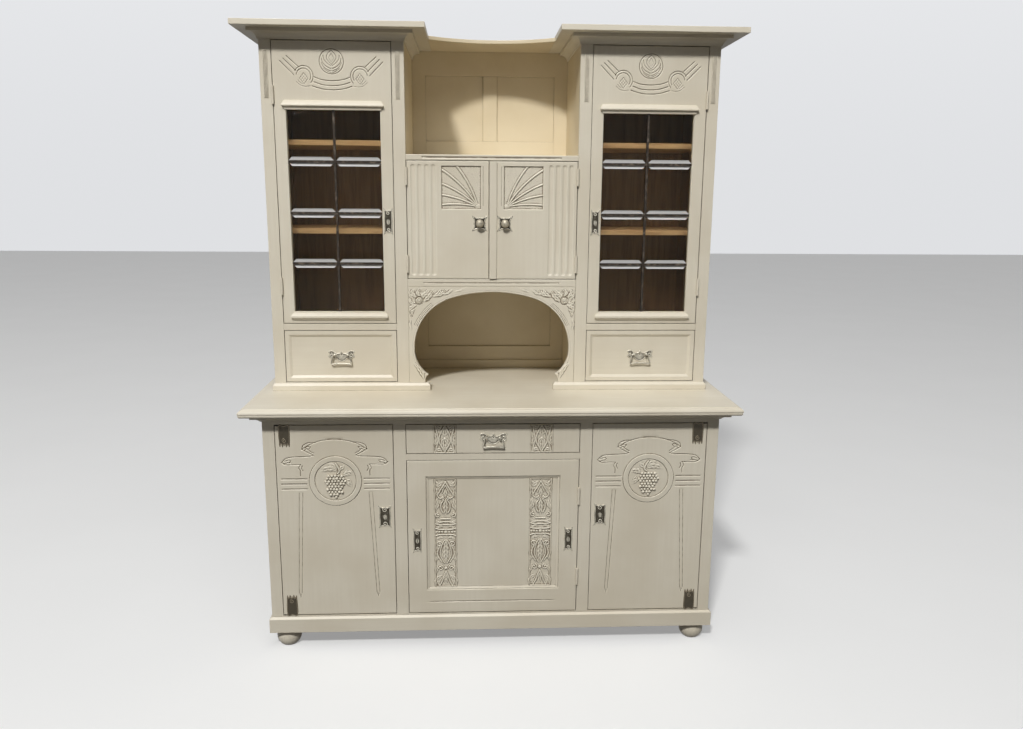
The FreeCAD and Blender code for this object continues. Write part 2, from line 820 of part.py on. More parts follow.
def butt_hinge(name, x, face, z, way):
    """A hinge in the gap at x, with its door on the left (-1) or right (1); returns the door's leaf."""
    axis_y = face - s.knuckle_radius - s.knuckle_gap
    neck_y = (axis_y + (s.knuckle_radius + s.pin_radius) / 2, face)
    leaf_y = (face, face + s.leaf_width)
    low, high = about(z, s.leaf_height)
    knuckle_low, knuckle_high = about(z, s.knuckle_height)
    leaf_span = (s.door_gap / 2 - s.leaf_thickness, s.door_gap / 2)
    door_x = offset_span(x, way, *leaf_span)
    frame_x = offset_span(x, -way, *leaf_span)

    def barrel(part, radius, barrel_low, barrel_high):
        return place(cylinder(f"{name}_{part}", radius, barrel_high - barrel_low), x, axis_y, barrel_low)

    eye_hole = barrel("eye_hole", s.pin_radius + s.pin_gap,
                      knuckle_low - s.cut_overrun, knuckle_high + s.cut_overrun)
    eye = cut(f"{name}_eye", barrel("knuckle", s.knuckle_radius, knuckle_low, knuckle_high), eye_hole)
    door_leaf = fuse(f"{name}_door_leaf", eye,
                     board(f"{name}_door_flap", door_x, leaf_y, (low, high)),
                     board(f"{name}_door_neck", door_x, neck_y, (knuckle_low, knuckle_high)))
    frame_parts = [board(f"{name}_frame_flap", frame_x, leaf_y, (low, high)),
                   barrel("pin", s.pin_radius, low, high)]
    ends = {"low": (low, knuckle_low - s.knuckle_gap), "high": (knuckle_high + s.knuckle_gap, high)}
    for end, span in ends.items():
        frame_parts.append(barrel(f"{end}_knuckle", s.knuckle_radius, *span))
        frame_parts.append(board(f"{name}_{end}_neck", frame_x, neck_y, span))
    frame_leaves.append(fuse(f"{name}_frame_leaf", *frame_parts))
    return door_leaf


plate_end_share = 0.3
lock_inset_share = 0.73


def lock_plate(name, x, face, z, width, height):
    """A plate with round ends and a keyhole, on the front of a door."""
    end = width * plate_end_share
    end_radius = arc_radius(width / 2, end)
    low, high = z - height / 2 + end, z + height / 2 - end
    left, right = about(x, width)
    plate = padded(f"{name}_blank", "XZ_Plane", -face, s.plate_thickness, [
        (left, low, end_radius, -1), (right, low), (right, high, end_radius, -1), (left, high)])
    cut_y = (face - s.plate_thickness - s.cut_overrun, face)
    hole = cylinder(f"{name}_keyhole", s.keyhole_radius, s.plate_thickness + s.cut_overrun, "y")
    place(hole, x, cut_y[0], z)
    slot = board(f"{name}_key_slot", about(x, s.keyhole_radius), cut_y, (z - s.keyhole_length, z))
    return cut(f"{name}_plate", plate, hole, slot)


def lock_case(name, x, face, z):
    behind = face + s.door_thickness
    return board(f"{name}_case", about(x, s.lock_case_width), (behind, behind + s.lock_case_thickness),
                 about(z, s.lock_case_height))


# Base outer doors on pivot hinges
door_middle = middle(outer_door)
medallion_z = door_high - s.medallion_drop
base_lock_z = door_low + s.base_lock_rise


def carved_slab(side_name, side):
    inner, outer = (side * edge for edge in outer_door)
    corner = side * s.pivot_inset
    slab_body = padded(f"{side_name}_slab", "XY_Plane", door_low, door_high - door_low, [
        (inner, front),
        (outer - corner, front, s.pivot_inset, -side),
        (outer, front + s.pivot_inset),
        (outer, front_slab[1]),
        (inner, front_slab[1]),
    ])
    bead = turned(doc.addObject("Part::Torus", f"{side_name}_bead"), (1, 0, 0), 90)
    bind(bead, "Radius1", s.medallion_radius)
    bind(bead, "Radius2", s.medallion_bead)
    place(bead, side * door_middle, front + s.medallion_sink, medallion_z)
    grooves = []
    for way_name, way in sides.items():
        for rank in (-1, 0, 1):
            rib_x = offset_span(side * door_middle, way, s.rib_reach, s.rib_reach + s.rib_length)
            rib = cylinder(f"{side_name}_{way_name}_rib", s.rib_radius, s.rib_length, "x")
            grooves.append(place(rib, rib_x[0], front, medallion_z - s.rib_drop + rank * s.rib_spacing))
        grooves.append(stem(f"{side_name}_{way_name}_stem", side * door_middle, way))
    for end, strap_z in pivot_strap_levels().items():
        cut_z = {"top": (strap_z[0], strap_z[1] + s.cut_overrun),
                 "bottom": (strap_z[0] - s.cut_overrun, strap_z[1])}
        notch_x = across(side, pivot_plate_inner, outer_door[1] + s.cut_overrun)
        notch_y = (front, front + s.pivot_strap_depth)
        grooves.append(board(f"{side_name}_{end}_notch", notch_x, notch_y, cut_z[end]))
    return cut(f"{side_name}_carved_slab", fuse(f"{side_name}_beaded_slab", slab_body, bead), *grooves)


def stem(name, x, way):
    """A tapering groove that leans outwards as it runs down."""
    foot_z = door_low + s.stem_foot_height
    rise = medallion_z - s.stem_top_drop - foot_z
    lean = s.stem_foot_reach - s.stem_top_reach
    groove = turned(doc.addObject("Part::Cone", name), (0, 1, 0), 1)
    bind(groove, "Radius1", s.stem_foot_radius)
    bind(groove, "Radius2", s.stem_top_radius)
    bind(groove, "Height", rise)
    groove.setExpression("Placement.Rotation.Angle", f"atan({text_of(-way * lean)} / {rise.text})")
    return place(groove, x + way * s.stem_foot_reach, front, foot_z)


pivot_plate_inner = outer_door[1] - s.pivot_plate_inset - s.pivot_plate_width


def pivot_strap_levels():
    return {"top": (door_high - s.pivot_strap, door_high), "bottom": (door_low, door_low + s.pivot_strap)}


def pivot_hinge(name, side, end):
    """A plate on the front of the door, with a strap over the door's edge that carries the pivot."""
    strap_z = pivot_strap_levels()[end]
    plate_z = {"top": (door_high - s.pivot_plate_height, door_high),
               "bottom": (door_low, door_low + s.pivot_plate_height)}[end]
    pin_low = {"top": strap_z[0], "bottom": floor_top - s.pivot_length}[end]
    plate_outer = outer_door[1] - s.pivot_plate_inset
    strap_end = pivot_x + (s.pivot_inset + s.pivot_radius) / 2
    plate = board(f"{name}_plate", across(side, pivot_plate_inner, plate_outer),
                  (front - s.plate_thickness, front), plate_z)
    strap = board(f"{name}_strap", across(side, pivot_plate_inner, strap_end),
                  (front, front + s.pivot_strap_depth), strap_z)
    pin = cylinder(f"{name}_pivot", s.pivot_radius, s.pivot_strap + s.swing_gap + s.pivot_length)
    return fuse(name, plate, strap, place(pin, side * pivot_x, pivot_y, pin_low))


for side_name, side in sides.items():
    node(f"base_{side_name}_door", carved_slab(side_name, side))
    node(f"base_{side_name}_hinges", *[
        pivot_hinge(f"{side_name}_{end}_pivot_hinge", side, end) for end in ("top", "bottom")])
    lock_x = side * (outer_door[0] + s.base_lock_plate_width * lock_inset_share)
    node(f"base_{side_name}_lock",
         lock_plate(f"{side_name}_base_lock", lock_x, front, base_lock_z, s.base_lock_plate_width,
                    s.base_lock_plate_height),
         lock_case(f"{side_name}_base_lock", lock_x, front, base_lock_z))

# Base centre door
centre_door = centre_half - s.door_gap
panel_edge = centre_door - s.centre_stile
panel_low = door_low + s.centre_bottom_rail
panel_high = centre_door_high - s.centre_top_rail
bottom_rail = board("centre_plain_bottom_rail", (-panel_edge, panel_edge), front_slab, (door_low, panel_low))
groove_line = cylinder("centre_groove", s.centre_groove_radius, 2 * panel_edge, "x")
place(groove_line, -panel_edge, front, door_low + s.centre_groove_height)
frame_pieces = [
    board("centre_door_top_rail", (-panel_edge, panel_edge), front_slab, (panel_high, centre_door_high)),
    cut("centre_door_bottom_rail", bottom_rail, groove_line),
]
panel_face = front + s.panel_recess
panel_pieces = [board("centre_plain_panel", mirrored_span(panel_edge),
                      (panel_face, panel_face + s.panel_thickness), (panel_low, panel_high))]
strip_x = (panel_edge - s.strip_inset - s.strip_width, panel_edge - s.strip_inset)
for side_name, side in sides.items():
    frame_pieces.append(board(f"{side_name}_centre_door_stile", across(side, panel_edge, centre_door),
                              front_slab, (door_low, centre_door_high)))
    panel_pieces.append(board(f"{side_name}_carved_strip", across(side, *strip_x),
                              (panel_face - s.strip_relief, panel_face), (panel_low, panel_high)))
node("base_centre_door_frame", *frame_pieces)
node("base_centre_door_panel", *panel_pieces)
escutcheon_x = (panel_edge + centre_door) / 2
centre_lock_z = door_low + s.centre_lock_rise
node("base_centre_locks",
     *[lock_plate(f"{name}_centre_lock", side * escutcheon_x, front, centre_lock_z, s.lock_plate_width,
                  s.lock_plate_height) for name, side in sides.items()],
     lock_case("centre_lock", -escutcheon_x, front, centre_lock_z))
centre_gap = centre_half - s.door_gap / 2
centre_hinge_levels = {"low": door_low + s.hinge_low_rise, "high": centre_door_high - s.hinge_low_rise}
node("base_centre_hinges", *[
    butt_hinge(f"centre_{level}_hinge", centre_gap, front, z, -1)
    for level, z in centre_hinge_levels.items()])


# Glazed tower doors
pane_columns = 2
pane_rows = 4


def glazed_door(side_name, side):
    inner, outer = outer_door
    opening = (inner + s.glass_stile, outer - s.glass_stile)
    glass_low = glass_door_low + s.glass_low_rail
    glass_high = glass_low + s.glass_height
    glass_x = across(side, *opening)
    door_z = (glass_door_low, glass_door_high)
    hood_x = across(side, opening[0] - s.hood_overlap, opening[1] + s.hood_overlap)
    hood_width = hood_x[1] - hood_x[0]
    hood_step = tower_front - s.hood_projection + s.hood_band
    hood_high = glass_high + s.hood_height
    sill_high = glass_low - s.sill_drop
    sill_low = sill_high - s.sill_height
    sill_step = tower_front - s.sill_projection + s.sill_band
    node(f"{side_name}_glass_door_frame",
         board(f"{side_name}_glass_inner_stile", across(side, inner, opening[0]), tower_slab, door_z),
         board(f"{side_name}_glass_outer_stile", across(side, opening[1], outer), tower_slab, door_z),
         board(f"{side_name}_glass_low_rail", glass_x, tower_slab, (glass_door_low, glass_low)),
         board(f"{side_name}_glass_frieze", glass_x, tower_slab, (glass_high, glass_door_high)),
         padded(f"{side_name}_hood", "YZ_Plane", hood_x[0], hood_width, [
             (tower_front, glass_high), (hood_step, glass_high),
             (tower_front - s.hood_projection, hood_high - s.hood_band),
             (tower_front - s.hood_projection, hood_high), (tower_front, hood_high)]),
         padded(f"{side_name}_sill", "YZ_Plane", hood_x[0], hood_width, [
             (tower_front, sill_low), (sill_step, sill_low),
             (tower_front - s.sill_projection, sill_high - s.sill_band),
             (tower_front - s.sill_projection, sill_high), (tower_front, sill_high)]))
    pane_width = (opening[1] - opening[0] - (pane_columns - 1) * s.came_width) / pane_columns
    pane_height = (s.glass_height - (pane_rows - 1) * s.came_width) / pane_rows
    pane_y = tower_front + (s.door_thickness - s.glass_thickness) / 2
    came_y = tower_front + (s.door_thickness - s.came_depth) / 2
    came_depth = (came_y, came_y + s.came_depth)
    panes = []
    bars = [board(f"{side_name}_upright_came", (glass_x[0] + pane_width, glass_x[1] - pane_width), came_depth,
                  (glass_low, glass_high))]
    for column in range(pane_columns):
        pane_left = glass_x[0] + column * (pane_width + s.came_width)
        pane_x = (pane_left, pane_left + pane_width)
        for row in range(pane_rows):
            pane_low = glass_low + row * (pane_height + s.came_width)
            pane_high = pane_low + pane_height
            panes.append(board(f"{side_name}_pane", pane_x, (pane_y, pane_y + s.glass_thickness),
                               (pane_low, pane_high)))
            if row < pane_rows - 1:
                bars.append(board(f"{side_name}_cross_came", pane_x, came_depth,
                                  (pane_high, pane_high + s.came_width)))
    node(f"{side_name}_glass_panes", *panes)
    node(f"{side_name}_glass_came", *bars)
    lock_x = side * (inner + s.glass_stile / 2)
    lock_z = glass_door_low + s.glass_lock_rise
    node(f"{side_name}_glass_lock",
         lock_plate(f"{side_name}_glass_door_lock", lock_x, tower_front, lock_z,
                    s.lock_plate_width, s.lock_plate_height),
         lock_case(f"{side_name}_glass_door_lock", lock_x, tower_front, lock_z))
    levels = {"low": glass_door_low + s.hinge_low_rise, "high": glass_door_high - s.hinge_top_drop}
    gap_x = side * (outer_opening - s.door_gap / 2)
    node(f"{side_name}_glass_hinges", *[
        butt_hinge(f"{side_name}_glass_{level}_hinge", gap_x, tower_front, z, -side)
        for level, z in levels.items()])


for side_name, side in sides.items():
    glazed_door(side_name, side)

# Upper cabinet doors with flutes, ray panels, roses and knobs
meeting = -s.meeting_offset
small_door_edge = centre_half - s.door_gap
small_doors = {"left": (-small_door_edge, meeting - s.door_gap / 2),
               "right": (meeting + s.door_gap / 2, small_door_edge)}
small_door_z = (small_door_low, small_door_high)
ray_high = small_door_high - s.ray_panel_margin
ray_low = ray_high - s.ray_panel_height
knob_z = ray_low - s.knob_drop
flute_count = 4


def fluted_door(side_name, side, spindle_hole):
    slab_board = board(f"upper_{side_name}_slab", small_doors[side_name], tower_slab, small_door_z)
    cuts = list(spindle_hole)
    flute_z = small_door_low + s.flute_margin
    flute_length = small_door_high - s.flute_margin - flute_z
    for number in range(flute_count):
        flute = cylinder(f"upper_{side_name}_flute", s.flute_radius, flute_length)
        flute_x = side * (centre_half - s.flute_first - number * s.flute_spacing)
        cuts.append(place(flute, flute_x, tower_front - s.flute_radius + s.flute_depth, flute_z))
    cuts.append(board(f"upper_{side_name}_ray_panel",
                      across(side, s.ray_panel_inset, s.ray_panel_inset + s.ray_panel_width),
                      (tower_front - s.cut_overrun, tower_front + s.ray_panel_depth),
                      (ray_low, ray_high)))
    return cut(f"upper_{side_name}_fluted_slab", slab_board, *cuts)


def spindle_bore(name, face, depth):
    bore = cylinder(name, s.spindle_radius + s.pin_gap, depth + 2 * s.cut_overrun, "y")
    return place(bore, s.rose_offset, face - s.cut_overrun, knob_z)


def knob(name, x, stand):
    """A turned knob on a neck, standing off its rose by stand."""
    crown = s.knob_length - s.knob_neck_length
    swell = s.knob_neck_length + crown / 2
    bulge_radius = arc_radius(crown / 2, s.knob_radius - s.knob_neck_radius)
    dome_radius = arc_radius(s.knob_radius, crown / 2)
    body = revolved(name, [
        (0, 0),
        (s.knob_neck_radius, 0),
        (s.knob_neck_radius, s.knob_neck_length, bulge_radius, -1),
        (s.knob_radius, swell, dome_radius, -1),
        (0, s.knob_length),
    ])
    turned(body, (1, 0, 0), 90)
    return place(body, x, tower_front - s.plate_thickness - stand, knob_z)


def rose(side_name, side):
    return board(f"upper_{side_name}_rose", about(side * s.rose_offset, s.rose_size),
                 (tower_front - s.plate_thickness, tower_front), about(knob_z, s.rose_size))


def small_hinges(side_name, side):
    levels = {"low": small_door_low + s.small_hinge_inset, "high": small_door_high - s.small_hinge_inset}
    return [butt_hinge(f"upper_{side_name}_{level}_hinge", side * centre_gap, tower_front, z, -side)
            for level, z in levels.items()]


node("upper_left_door", fluted_door("left", -1, []))
node("upper_left_ironwork", rose("left", -1), *small_hinges("left", -1))
node("upper_left_knob", knob("left_knob", -s.rose_offset, 0))
door_bore = spindle_bore("door_bore", tower_front, s.door_thickness)
node("upper_right_door", fluted_door("right", 1, [door_bore]))
strip_left = small_doors["right"][0]
node("meeting_strip", board("strip", (strip_left, strip_left + s.meeting_strip_width),
                            (tower_front - s.meeting_strip_relief, tower_front), small_door_z))
rose_bore = spindle_bore("rose_bore", tower_front - s.plate_thickness, s.plate_thickness)
node("upper_right_ironwork", cut("bored_rose", rose("right", 1), rose_bore), *small_hinges("right", 1))
tongue_front = tower_slab[1] + s.tongue_gap
tongue_back = tongue_front + s.tongue_thickness
spindle_front = tower_front - s.plate_thickness - s.knuckle_gap
spindle = cylinder("spindle", s.spindle_radius, tongue_back - spindle_front, "y")
place(spindle, s.rose_offset, spindle_front, knob_z)
tongue = board("tongue", about(s.rose_offset, s.tongue_width), (tongue_front, tongue_back),
               (knob_z - s.tongue_length, knob_z + s.tongue_width / 2))
latch_grip = knob("right_knob", s.rose_offset, s.knuckle_gap)
node("upper_right_knob", fuse("latch_knob", latch_grip, spindle, tongue))


# Drawers and their pulls
def drawer_box(name, x, face_y, runner_z, high, room):
    """Two sides, a back and a bottom behind a drawer front, with room left behind the box."""
    left, right = x[0] + s.drawer_side_gap, x[1] - s.drawer_side_gap
    inner = (left + s.drawer_wall, right - s.drawer_wall)
    low = runner_z + s.slide_gap
    bottom_low = low + s.drawer_bottom_rise
    bottom_high = bottom_low + s.drawer_bottom
    end = back_front - room
    side_z = (low, high - s.drawer_top_drop)
    node(f"{name}_drawer_box",
         board(f"{name}_drawer_left_side", (left, inner[0]), (face_y, end), side_z),
         board(f"{name}_drawer_right_side", (inner[1], right), (face_y, end), side_z),
         board(f"{name}_drawer_bottom", inner, (face_y, end), (bottom_low, bottom_high)),
         board(f"{name}_drawer_back", inner, (end - s.drawer_wall, end),
               (bottom_high, side_z[1] - s.drawer_back_drop)))


def pull(name, x, face, z):
    """A plate with two bored posts, and the bail that hangs in them."""
    plate_front = face - s.plate_thickness
    axis_y = plate_front - s.bail_stand
    axis_z = z + s.post_rise
    post_reach = s.post_spacing / 2
    plate = board(f"{name}_pull_blank", about(x, s.pull_width), (plate_front, face), about(z, s.pull_height))
    posts = []
    for side_name, side in sides.items():
        post = cylinder(f"{name}_{side_name}_post", s.post_radius, s.post_length, "y")
        posts.append(place(post, x + side * post_reach, plate_front - s.post_length, axis_z))
    bore_reach = post_reach + s.post_radius + s.cut_overrun
    bore = cylinder(f"{name}_post_bore", s.bail_radius + s.pin_gap, 2 * bore_reach, "x")
    place(bore, x - bore_reach, axis_y, axis_z)
    node(f"{name}_pull_plate", cut(f"{name}_bored_pull", fuse(f"{name}_posted_pull", plate, *posts), bore))
    node(f"{name}_bail", bail(f"{name}_bail_rod", x, axis_y, axis_z))


def bail(name, x, y, z):
    """A round rod: in through one post, out, down, across under both and back in through the other."""
    tail = s.post_spacing / 2 - s.post_radius - s.bail_tail
    bend_start = s.post_spacing / 2 + s.post_radius + s.knuckle_gap
    arm = bend_start + s.bail_bend
    bend_low = z - s.bail_drop + s.bail_bend
    body = doc.addObject("PartDesign::Body", name)
    path = draw(sketch_on(body, "XZ_Plane", -y), [
        (x - tail, z),
        (x - bend_start, z, s.bail_bend, -1),
        (x - arm, z - s.bail_bend),
        (x - arm, bend_low, s.bail_bend, -1),
        (x - bend_start, z - s.bail_drop),
        (x + bend_start, z - s.bail_drop, s.bail_bend, -1),
        (x + arm, bend_low),
        (x + arm, z - s.bail_bend, s.bail_bend, -1),
        (x + bend_start, z),
        (x + tail, z),
    ], closed=False)
    section = sketch_on(body, "YZ_Plane", x - tail)
    section.addGeometry(Part.Circle(FreeCAD.Vector(number_of(y), number_of(z), 0), FreeCAD.Vector(0, 0, 1),
                                    s.bail_radius.value), False)
    pin_point(section, 0, 3, (y, z))
    thickness = section.addConstraint(Sketcher.Constraint("Radius", 0, s.bail_radius.value))
    bind(section, f"Constraints[{thickness}]", s.bail_radius)
    pipe = body.newObject("PartDesign::AdditivePipe", name + "_pipe")
    pipe.Profile = section
    pipe.Spine = (path, [f"Edge{number}" for number in range(1, len(path.Geometry) + 1)])
    return body


drawer_z = (drawer_low, door_high)
drawer_x = (-centre_door, centre_door)
carving_z = (drawer_low + s.strip_relief, door_high - s.strip_relief)
node("centre_drawer_front",
     board("centre_drawer_board", drawer_x, front_slab, drawer_z),
     *[board(f"{name}_drawer_carving", across(side, *strip_x), (front - s.strip_relief, front), carving_z)
       for name, side in sides.items()])
drawer_box("centre", drawer_x, front_slab[1], middle_rail_high, door_high, s.centre_drawer_room)
pull("centre", middle(drawer_x), front, middle(drawer_z))


def fielded_front(side_name, x, z):
    """A drawer front with a sunk field whose border slopes in from the face."""
    field = doc.addObject("Part::Wedge", f"{side_name}_field")
    outer_x = (x[0] + s.field_border, x[1] - s.field_border)
    outer_z = (z[0] + s.field_border, z[1] - s.field_border)
    for prop, length in {
        "Ymin": tower_front, "Ymax": tower_front + s.field_depth,
        "Xmin": outer_x[0], "Xmax": outer_x[1], "Zmin": outer_z[0], "Zmax": outer_z[1],
        "X2min": outer_x[0] + s.field_bevel, "X2max": outer_x[1] - s.field_bevel,
        "Z2min": outer_z[0] + s.field_bevel, "Z2max": outer_z[1] - s.field_bevel,
    }.items():
        bind(field, prop, length)
    return cut(f"{side_name}_fielded_front", board(f"{side_name}_drawer_board", x, tower_slab, z), field)


for side_name, side in sides.items():
    front_x = across(side, *outer_door)
    front_z = (tower_drawer_low, tower_drawer_high)
    node(f"{side_name}_drawer_front", fielded_front(side_name, front_x, front_z))
    drawer_box(side_name, front_x, tower_slab[1], tower_floor, tower_drawer_high, s.tower_drawer_room)
    pull(side_name, middle(front_x), tower_front + s.field_depth, middle(front_z))

node("hinge_frame_leaves", *frame_leaves)

# Check every object, then write each node
doc.recompute()
failed = [item.Label for item in doc.Objects if {"Invalid", "Error"} & set(item.State)]
failed += [item.Label for item in nodes if item.Shape.isNull() or not item.Shape.isValid()]
if failed:
    raise RuntimeError("not built: " + ", ".join(failed))
for item in nodes:
    item.Shape.exportStep(f"parts/{item.Label}.step")
print(len(nodes), "nodes,", sum(len(item.Shape.Solids) for item in nodes), "solids")
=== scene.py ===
import math

import bmesh
import bpy
import numpy as np
from mathutils import Matrix, Vector
from mathutils.geometry import delaunay_2d_cdt


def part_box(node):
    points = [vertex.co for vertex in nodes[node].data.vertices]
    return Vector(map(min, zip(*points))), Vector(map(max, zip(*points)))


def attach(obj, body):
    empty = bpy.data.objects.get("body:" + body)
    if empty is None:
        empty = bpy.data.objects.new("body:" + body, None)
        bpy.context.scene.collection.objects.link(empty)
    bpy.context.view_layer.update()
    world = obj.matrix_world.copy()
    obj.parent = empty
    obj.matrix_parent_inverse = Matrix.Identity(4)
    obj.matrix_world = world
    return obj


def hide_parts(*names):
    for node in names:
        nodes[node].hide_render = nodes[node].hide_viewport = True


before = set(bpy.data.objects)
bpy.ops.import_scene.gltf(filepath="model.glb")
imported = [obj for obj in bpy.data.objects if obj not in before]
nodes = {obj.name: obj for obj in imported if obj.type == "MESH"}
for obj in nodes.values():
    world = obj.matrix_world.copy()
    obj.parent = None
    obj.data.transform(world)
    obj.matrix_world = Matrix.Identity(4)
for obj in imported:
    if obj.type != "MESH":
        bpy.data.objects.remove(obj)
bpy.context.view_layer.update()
mm = 0.001  # carvings and hardware are written in millimetres
far = 99.0  # beyond the reach of any carving
rowShare = 0.866  # height of a row in a lattice of triangles, as a share of its spacing
sides = {"left": -1, "right": 1}


class Signal:  # one socket of a node tree; arithmetic on it adds Math nodes
    def __init__(self, tree, socket):
        self.tree = tree
        self.socket = socket

    def node(self, kind, settings, sockets, output=0):
        made = self.tree.nodes.new(kind)
        for name, setting in settings.items():
            setattr(made, name, setting)
        for name, value in sockets.items():
            if isinstance(value, Signal):
                self.tree.links.new(value.socket, made.inputs[name])
            else:
                made.inputs[name].default_value = value
        return Signal(self.tree, made.outputs[output])

    def math(self, operation, first, second=0.0):
        return self.node("ShaderNodeMath", {"operation": operation}, {0: first, 1: second})

    def __add__(self, other):
        return self.math("ADD", self, other)

    def __sub__(self, other):
        return self.math("SUBTRACT", self, other)

    def __rsub__(self, other):
        return self.math("SUBTRACT", other, self)

    def __mul__(self, other):
        return self.math("MULTIPLY", self, other)

    __radd__ = __add__
    __rmul__ = __mul__

    def fade(self, low, high):  # 0 up to low, 1 from high on
        return self.node("ShaderNodeMapRange", {"interpolation_type": "SMOOTHSTEP"},
                         {"Value": self, "From Min": low, "From Max": high})

    def tint(self, first, second):  # two colours mixed by this value
        return self.node("ShaderNodeMix", {"data_type": "RGBA"}, {0: self, 6: first, 7: second}, 2)

    def noise(self, scale, detail=3, stretch=(1, 1, 1)):
        placed = self.node("ShaderNodeMapping", {}, {"Vector": self, "Scale": stretch})
        return self.node("ShaderNodeTexNoise", {}, {"Vector": placed, "Scale": scale, "Detail": detail})

    def patches(self, scale, detail, low, high):  # noise that is 0 up to low and 1 from high on
        return self.noise(scale, detail).fade(low, high)

    def parts(self):  # x, y and z of a vector
        made = self.tree.nodes.new("ShaderNodeSeparateXYZ")
        self.tree.links.new(self.socket, made.inputs[0])
        return [Signal(self.tree, output) for output in made.outputs]

    def above(self, limit):
        return self.math("GREATER_THAN", self, limit)

    def below(self, limit):
        return self.math("LESS_THAN", self, limit)

    def bump(self, strength, distance):
        return self.node("ShaderNodeBump", {}, {"Height": self, "Strength": strength, "Distance": distance})


def newFinish(name):
    material = bpy.data.materials.new(name)
    material.use_nodes = True
    tree = material.node_tree
    coords = tree.nodes.new("ShaderNodeTexCoord")
    return material, Signal(tree, coords.outputs["Object"]), tree.nodes["Principled BSDF"]


def feed(shader, **values):
    for name, value in values.items():
        socket = shader.inputs[name.replace("_", " ")]
        if isinstance(value, Signal):
            value.tree.links.new(value.socket, socket)
        else:
            socket.default_value = value


def stretched(along, slow, quick):  # texture scales for a grain that runs along one axis
    return tuple(slow if axis == along else quick for axis in "xyz")


paint = {
    "cream": (0.70, 0.645, 0.525, 1),
    "aged": (0.63, 0.567, 0.445, 1),
    # lighter tone of worn paint, also painted highlight on crests and edges
    "wornAndLit": (0.80, 0.750, 0.620, 1),
    # colour of the antique glaze, also painted shade in hollows, corners and gaps
    "glazeAndShade": (0.16, 0.120, 0.075, 1),
    "nicheBounceCream": (0.70, 0.600, 0.420, 1),
    "nicheBounceAged": (0.63, 0.525, 0.345, 1),
    "niche": (-1.0, 0.301, 0.886, 9.0, -0.060),  # yellowed paint tone with painted warm bounce light: across from and to, up from and to, behind
    "mottle": (3.5, 4, 0.35, 0.70),  # scale, detail, where it starts and is full
    "specks": (160, 2, 0.70, 0.80),
    "uneven": (35, 3, 0.25, 0.65),
    "strokeSlow": 4,
    "strokeQuick": 110,
    # reach and rays of the ambient occlusion that paints shade into corners and gaps
    "glazeShadeReach": 0.012,
    "glazeShadeRays": 6,
    "strokeDepth": 0.0004,
}


def paintFinish(name, along, inside=None, yellowedAndBounceLit=False):
    material, coords, shader = newFinish(name)
    strokes = coords.noise(1, 4, stretched(along, paint["strokeSlow"], paint["strokeQuick"]))
    mottle = coords.patches(*paint["mottle"])
    specks = coords.patches(*paint["specks"])
    carved = coords.node("ShaderNodeAttribute", {"attribute_name": "carve"}, {}, "Fac")
    # painted shade: ambient occlusion darkens inner corners and gaps between parts
    corner = 1 - coords.node("ShaderNodeAmbientOcclusion", {"samples": paint["glazeShadeRays"]},
                             {"Distance": paint["glazeShadeReach"]}, "AO")
    uneven = coords.patches(*paint["uneven"])
    # antique glaze and painted shade in carved hollows, corners and gaps
    hollow = carved.fade(0.10, 0.75) * 0.85 + corner.fade(0.30, 0.80) * 0.55
    glazeAndShadeMask = (hollow * (0.55 + uneven * 0.45)).fade(0, 1)
    # wear and painted highlight: crests and rounded edges turn lighter
    crestWearAndHighlight = (carved * -1).fade(0.15, 0.8) * 0.6
    colour = mottle.tint(paint["cream"], paint["aged"])
    colour = (strokes.fade(0.3, 0.75) * 0.35).tint(colour, paint["aged"])
    # yellower paint in the niche, partly painted warm bounce light
    if yellowedAndBounceLit:
        warmBounceArea = insideBoards(coords, *paint["niche"])
        colour = warmBounceArea.tint(colour, mottle.tint(paint["nicheBounceCream"], paint["nicheBounceAged"]))
    colour = crestWearAndHighlight.tint(colour, paint["wornAndLit"])
    colour = (glazeAndShadeMask + specks * 0.08).tint(colour, paint["glazeAndShade"])
    if inside:  # boards that are painted outside and bare inside, where the darker inside tones are partly painted shade
        bare = insideBoards(coords, *inside)
        colour = bare.tint(colour, woodGrain(coords, "z", wood["inside"]))
    feed(shader, Base_Color=colour, Roughness=0.40 + strokes * 0.12 + glazeAndShadeMask * 0.25,
         Normal=(strokes + specks * 0.4).bump(0.35, paint["strokeDepth"]))
    return material


def insideBoards(coords, xLow, xHigh, zLow, zHigh, yLow=-9.0):
    x, y, z = coords.parts()
    across = coords.math("ABSOLUTE", x)
    return across.above(xLow) * across.below(xHigh) * y.above(yLow) * z.above(zLow) * z.below(zHigh)


wood = {
    "board": ((0.62, 0.450, 0.250, 1), (0.46, 0.300, 0.150, 1)),  # two tones of the grain
    # inside: dark wood tones, darker in part as painted shade inside the cases
    "inside": ((0.230, 0.150, 0.075, 1), (0.155, 0.098, 0.050, 1)),
    "grainSlow": 1.6,
    "grainQuick": 24,
    "poreSlow": 12,
    "poreQuick": 260,
    "rings": 34,
    "poreDepth": 0.0003,
}


def woodGrain(coords, along, tones):
    drift = coords.noise(1, 3, stretched(along, wood["grainSlow"], wood["grainQuick"]))
    rings = coords.math("SINE", drift * wood["rings"]) * 0.5 + 0.5
    pores = coords.noise(1, 2, stretched(along, wood["poreSlow"], wood["poreQuick"])).fade(0.45, 0.75)
    return (rings * 0.6 + pores * 0.45).tint(*tones)


def woodFinish(name, along, tones="board"):
    material, coords, shader = newFinish(name)
    pores = coords.noise(1, 2, stretched(along, wood["poreSlow"], wood["poreQuick"]))
    feed(shader, Base_Color=woodGrain(coords, along, wood[tones]), Roughness=0.5 + pores * 0.2,
         Normal=pores.bump(0.4, wood["poreDepth"]))
    return material


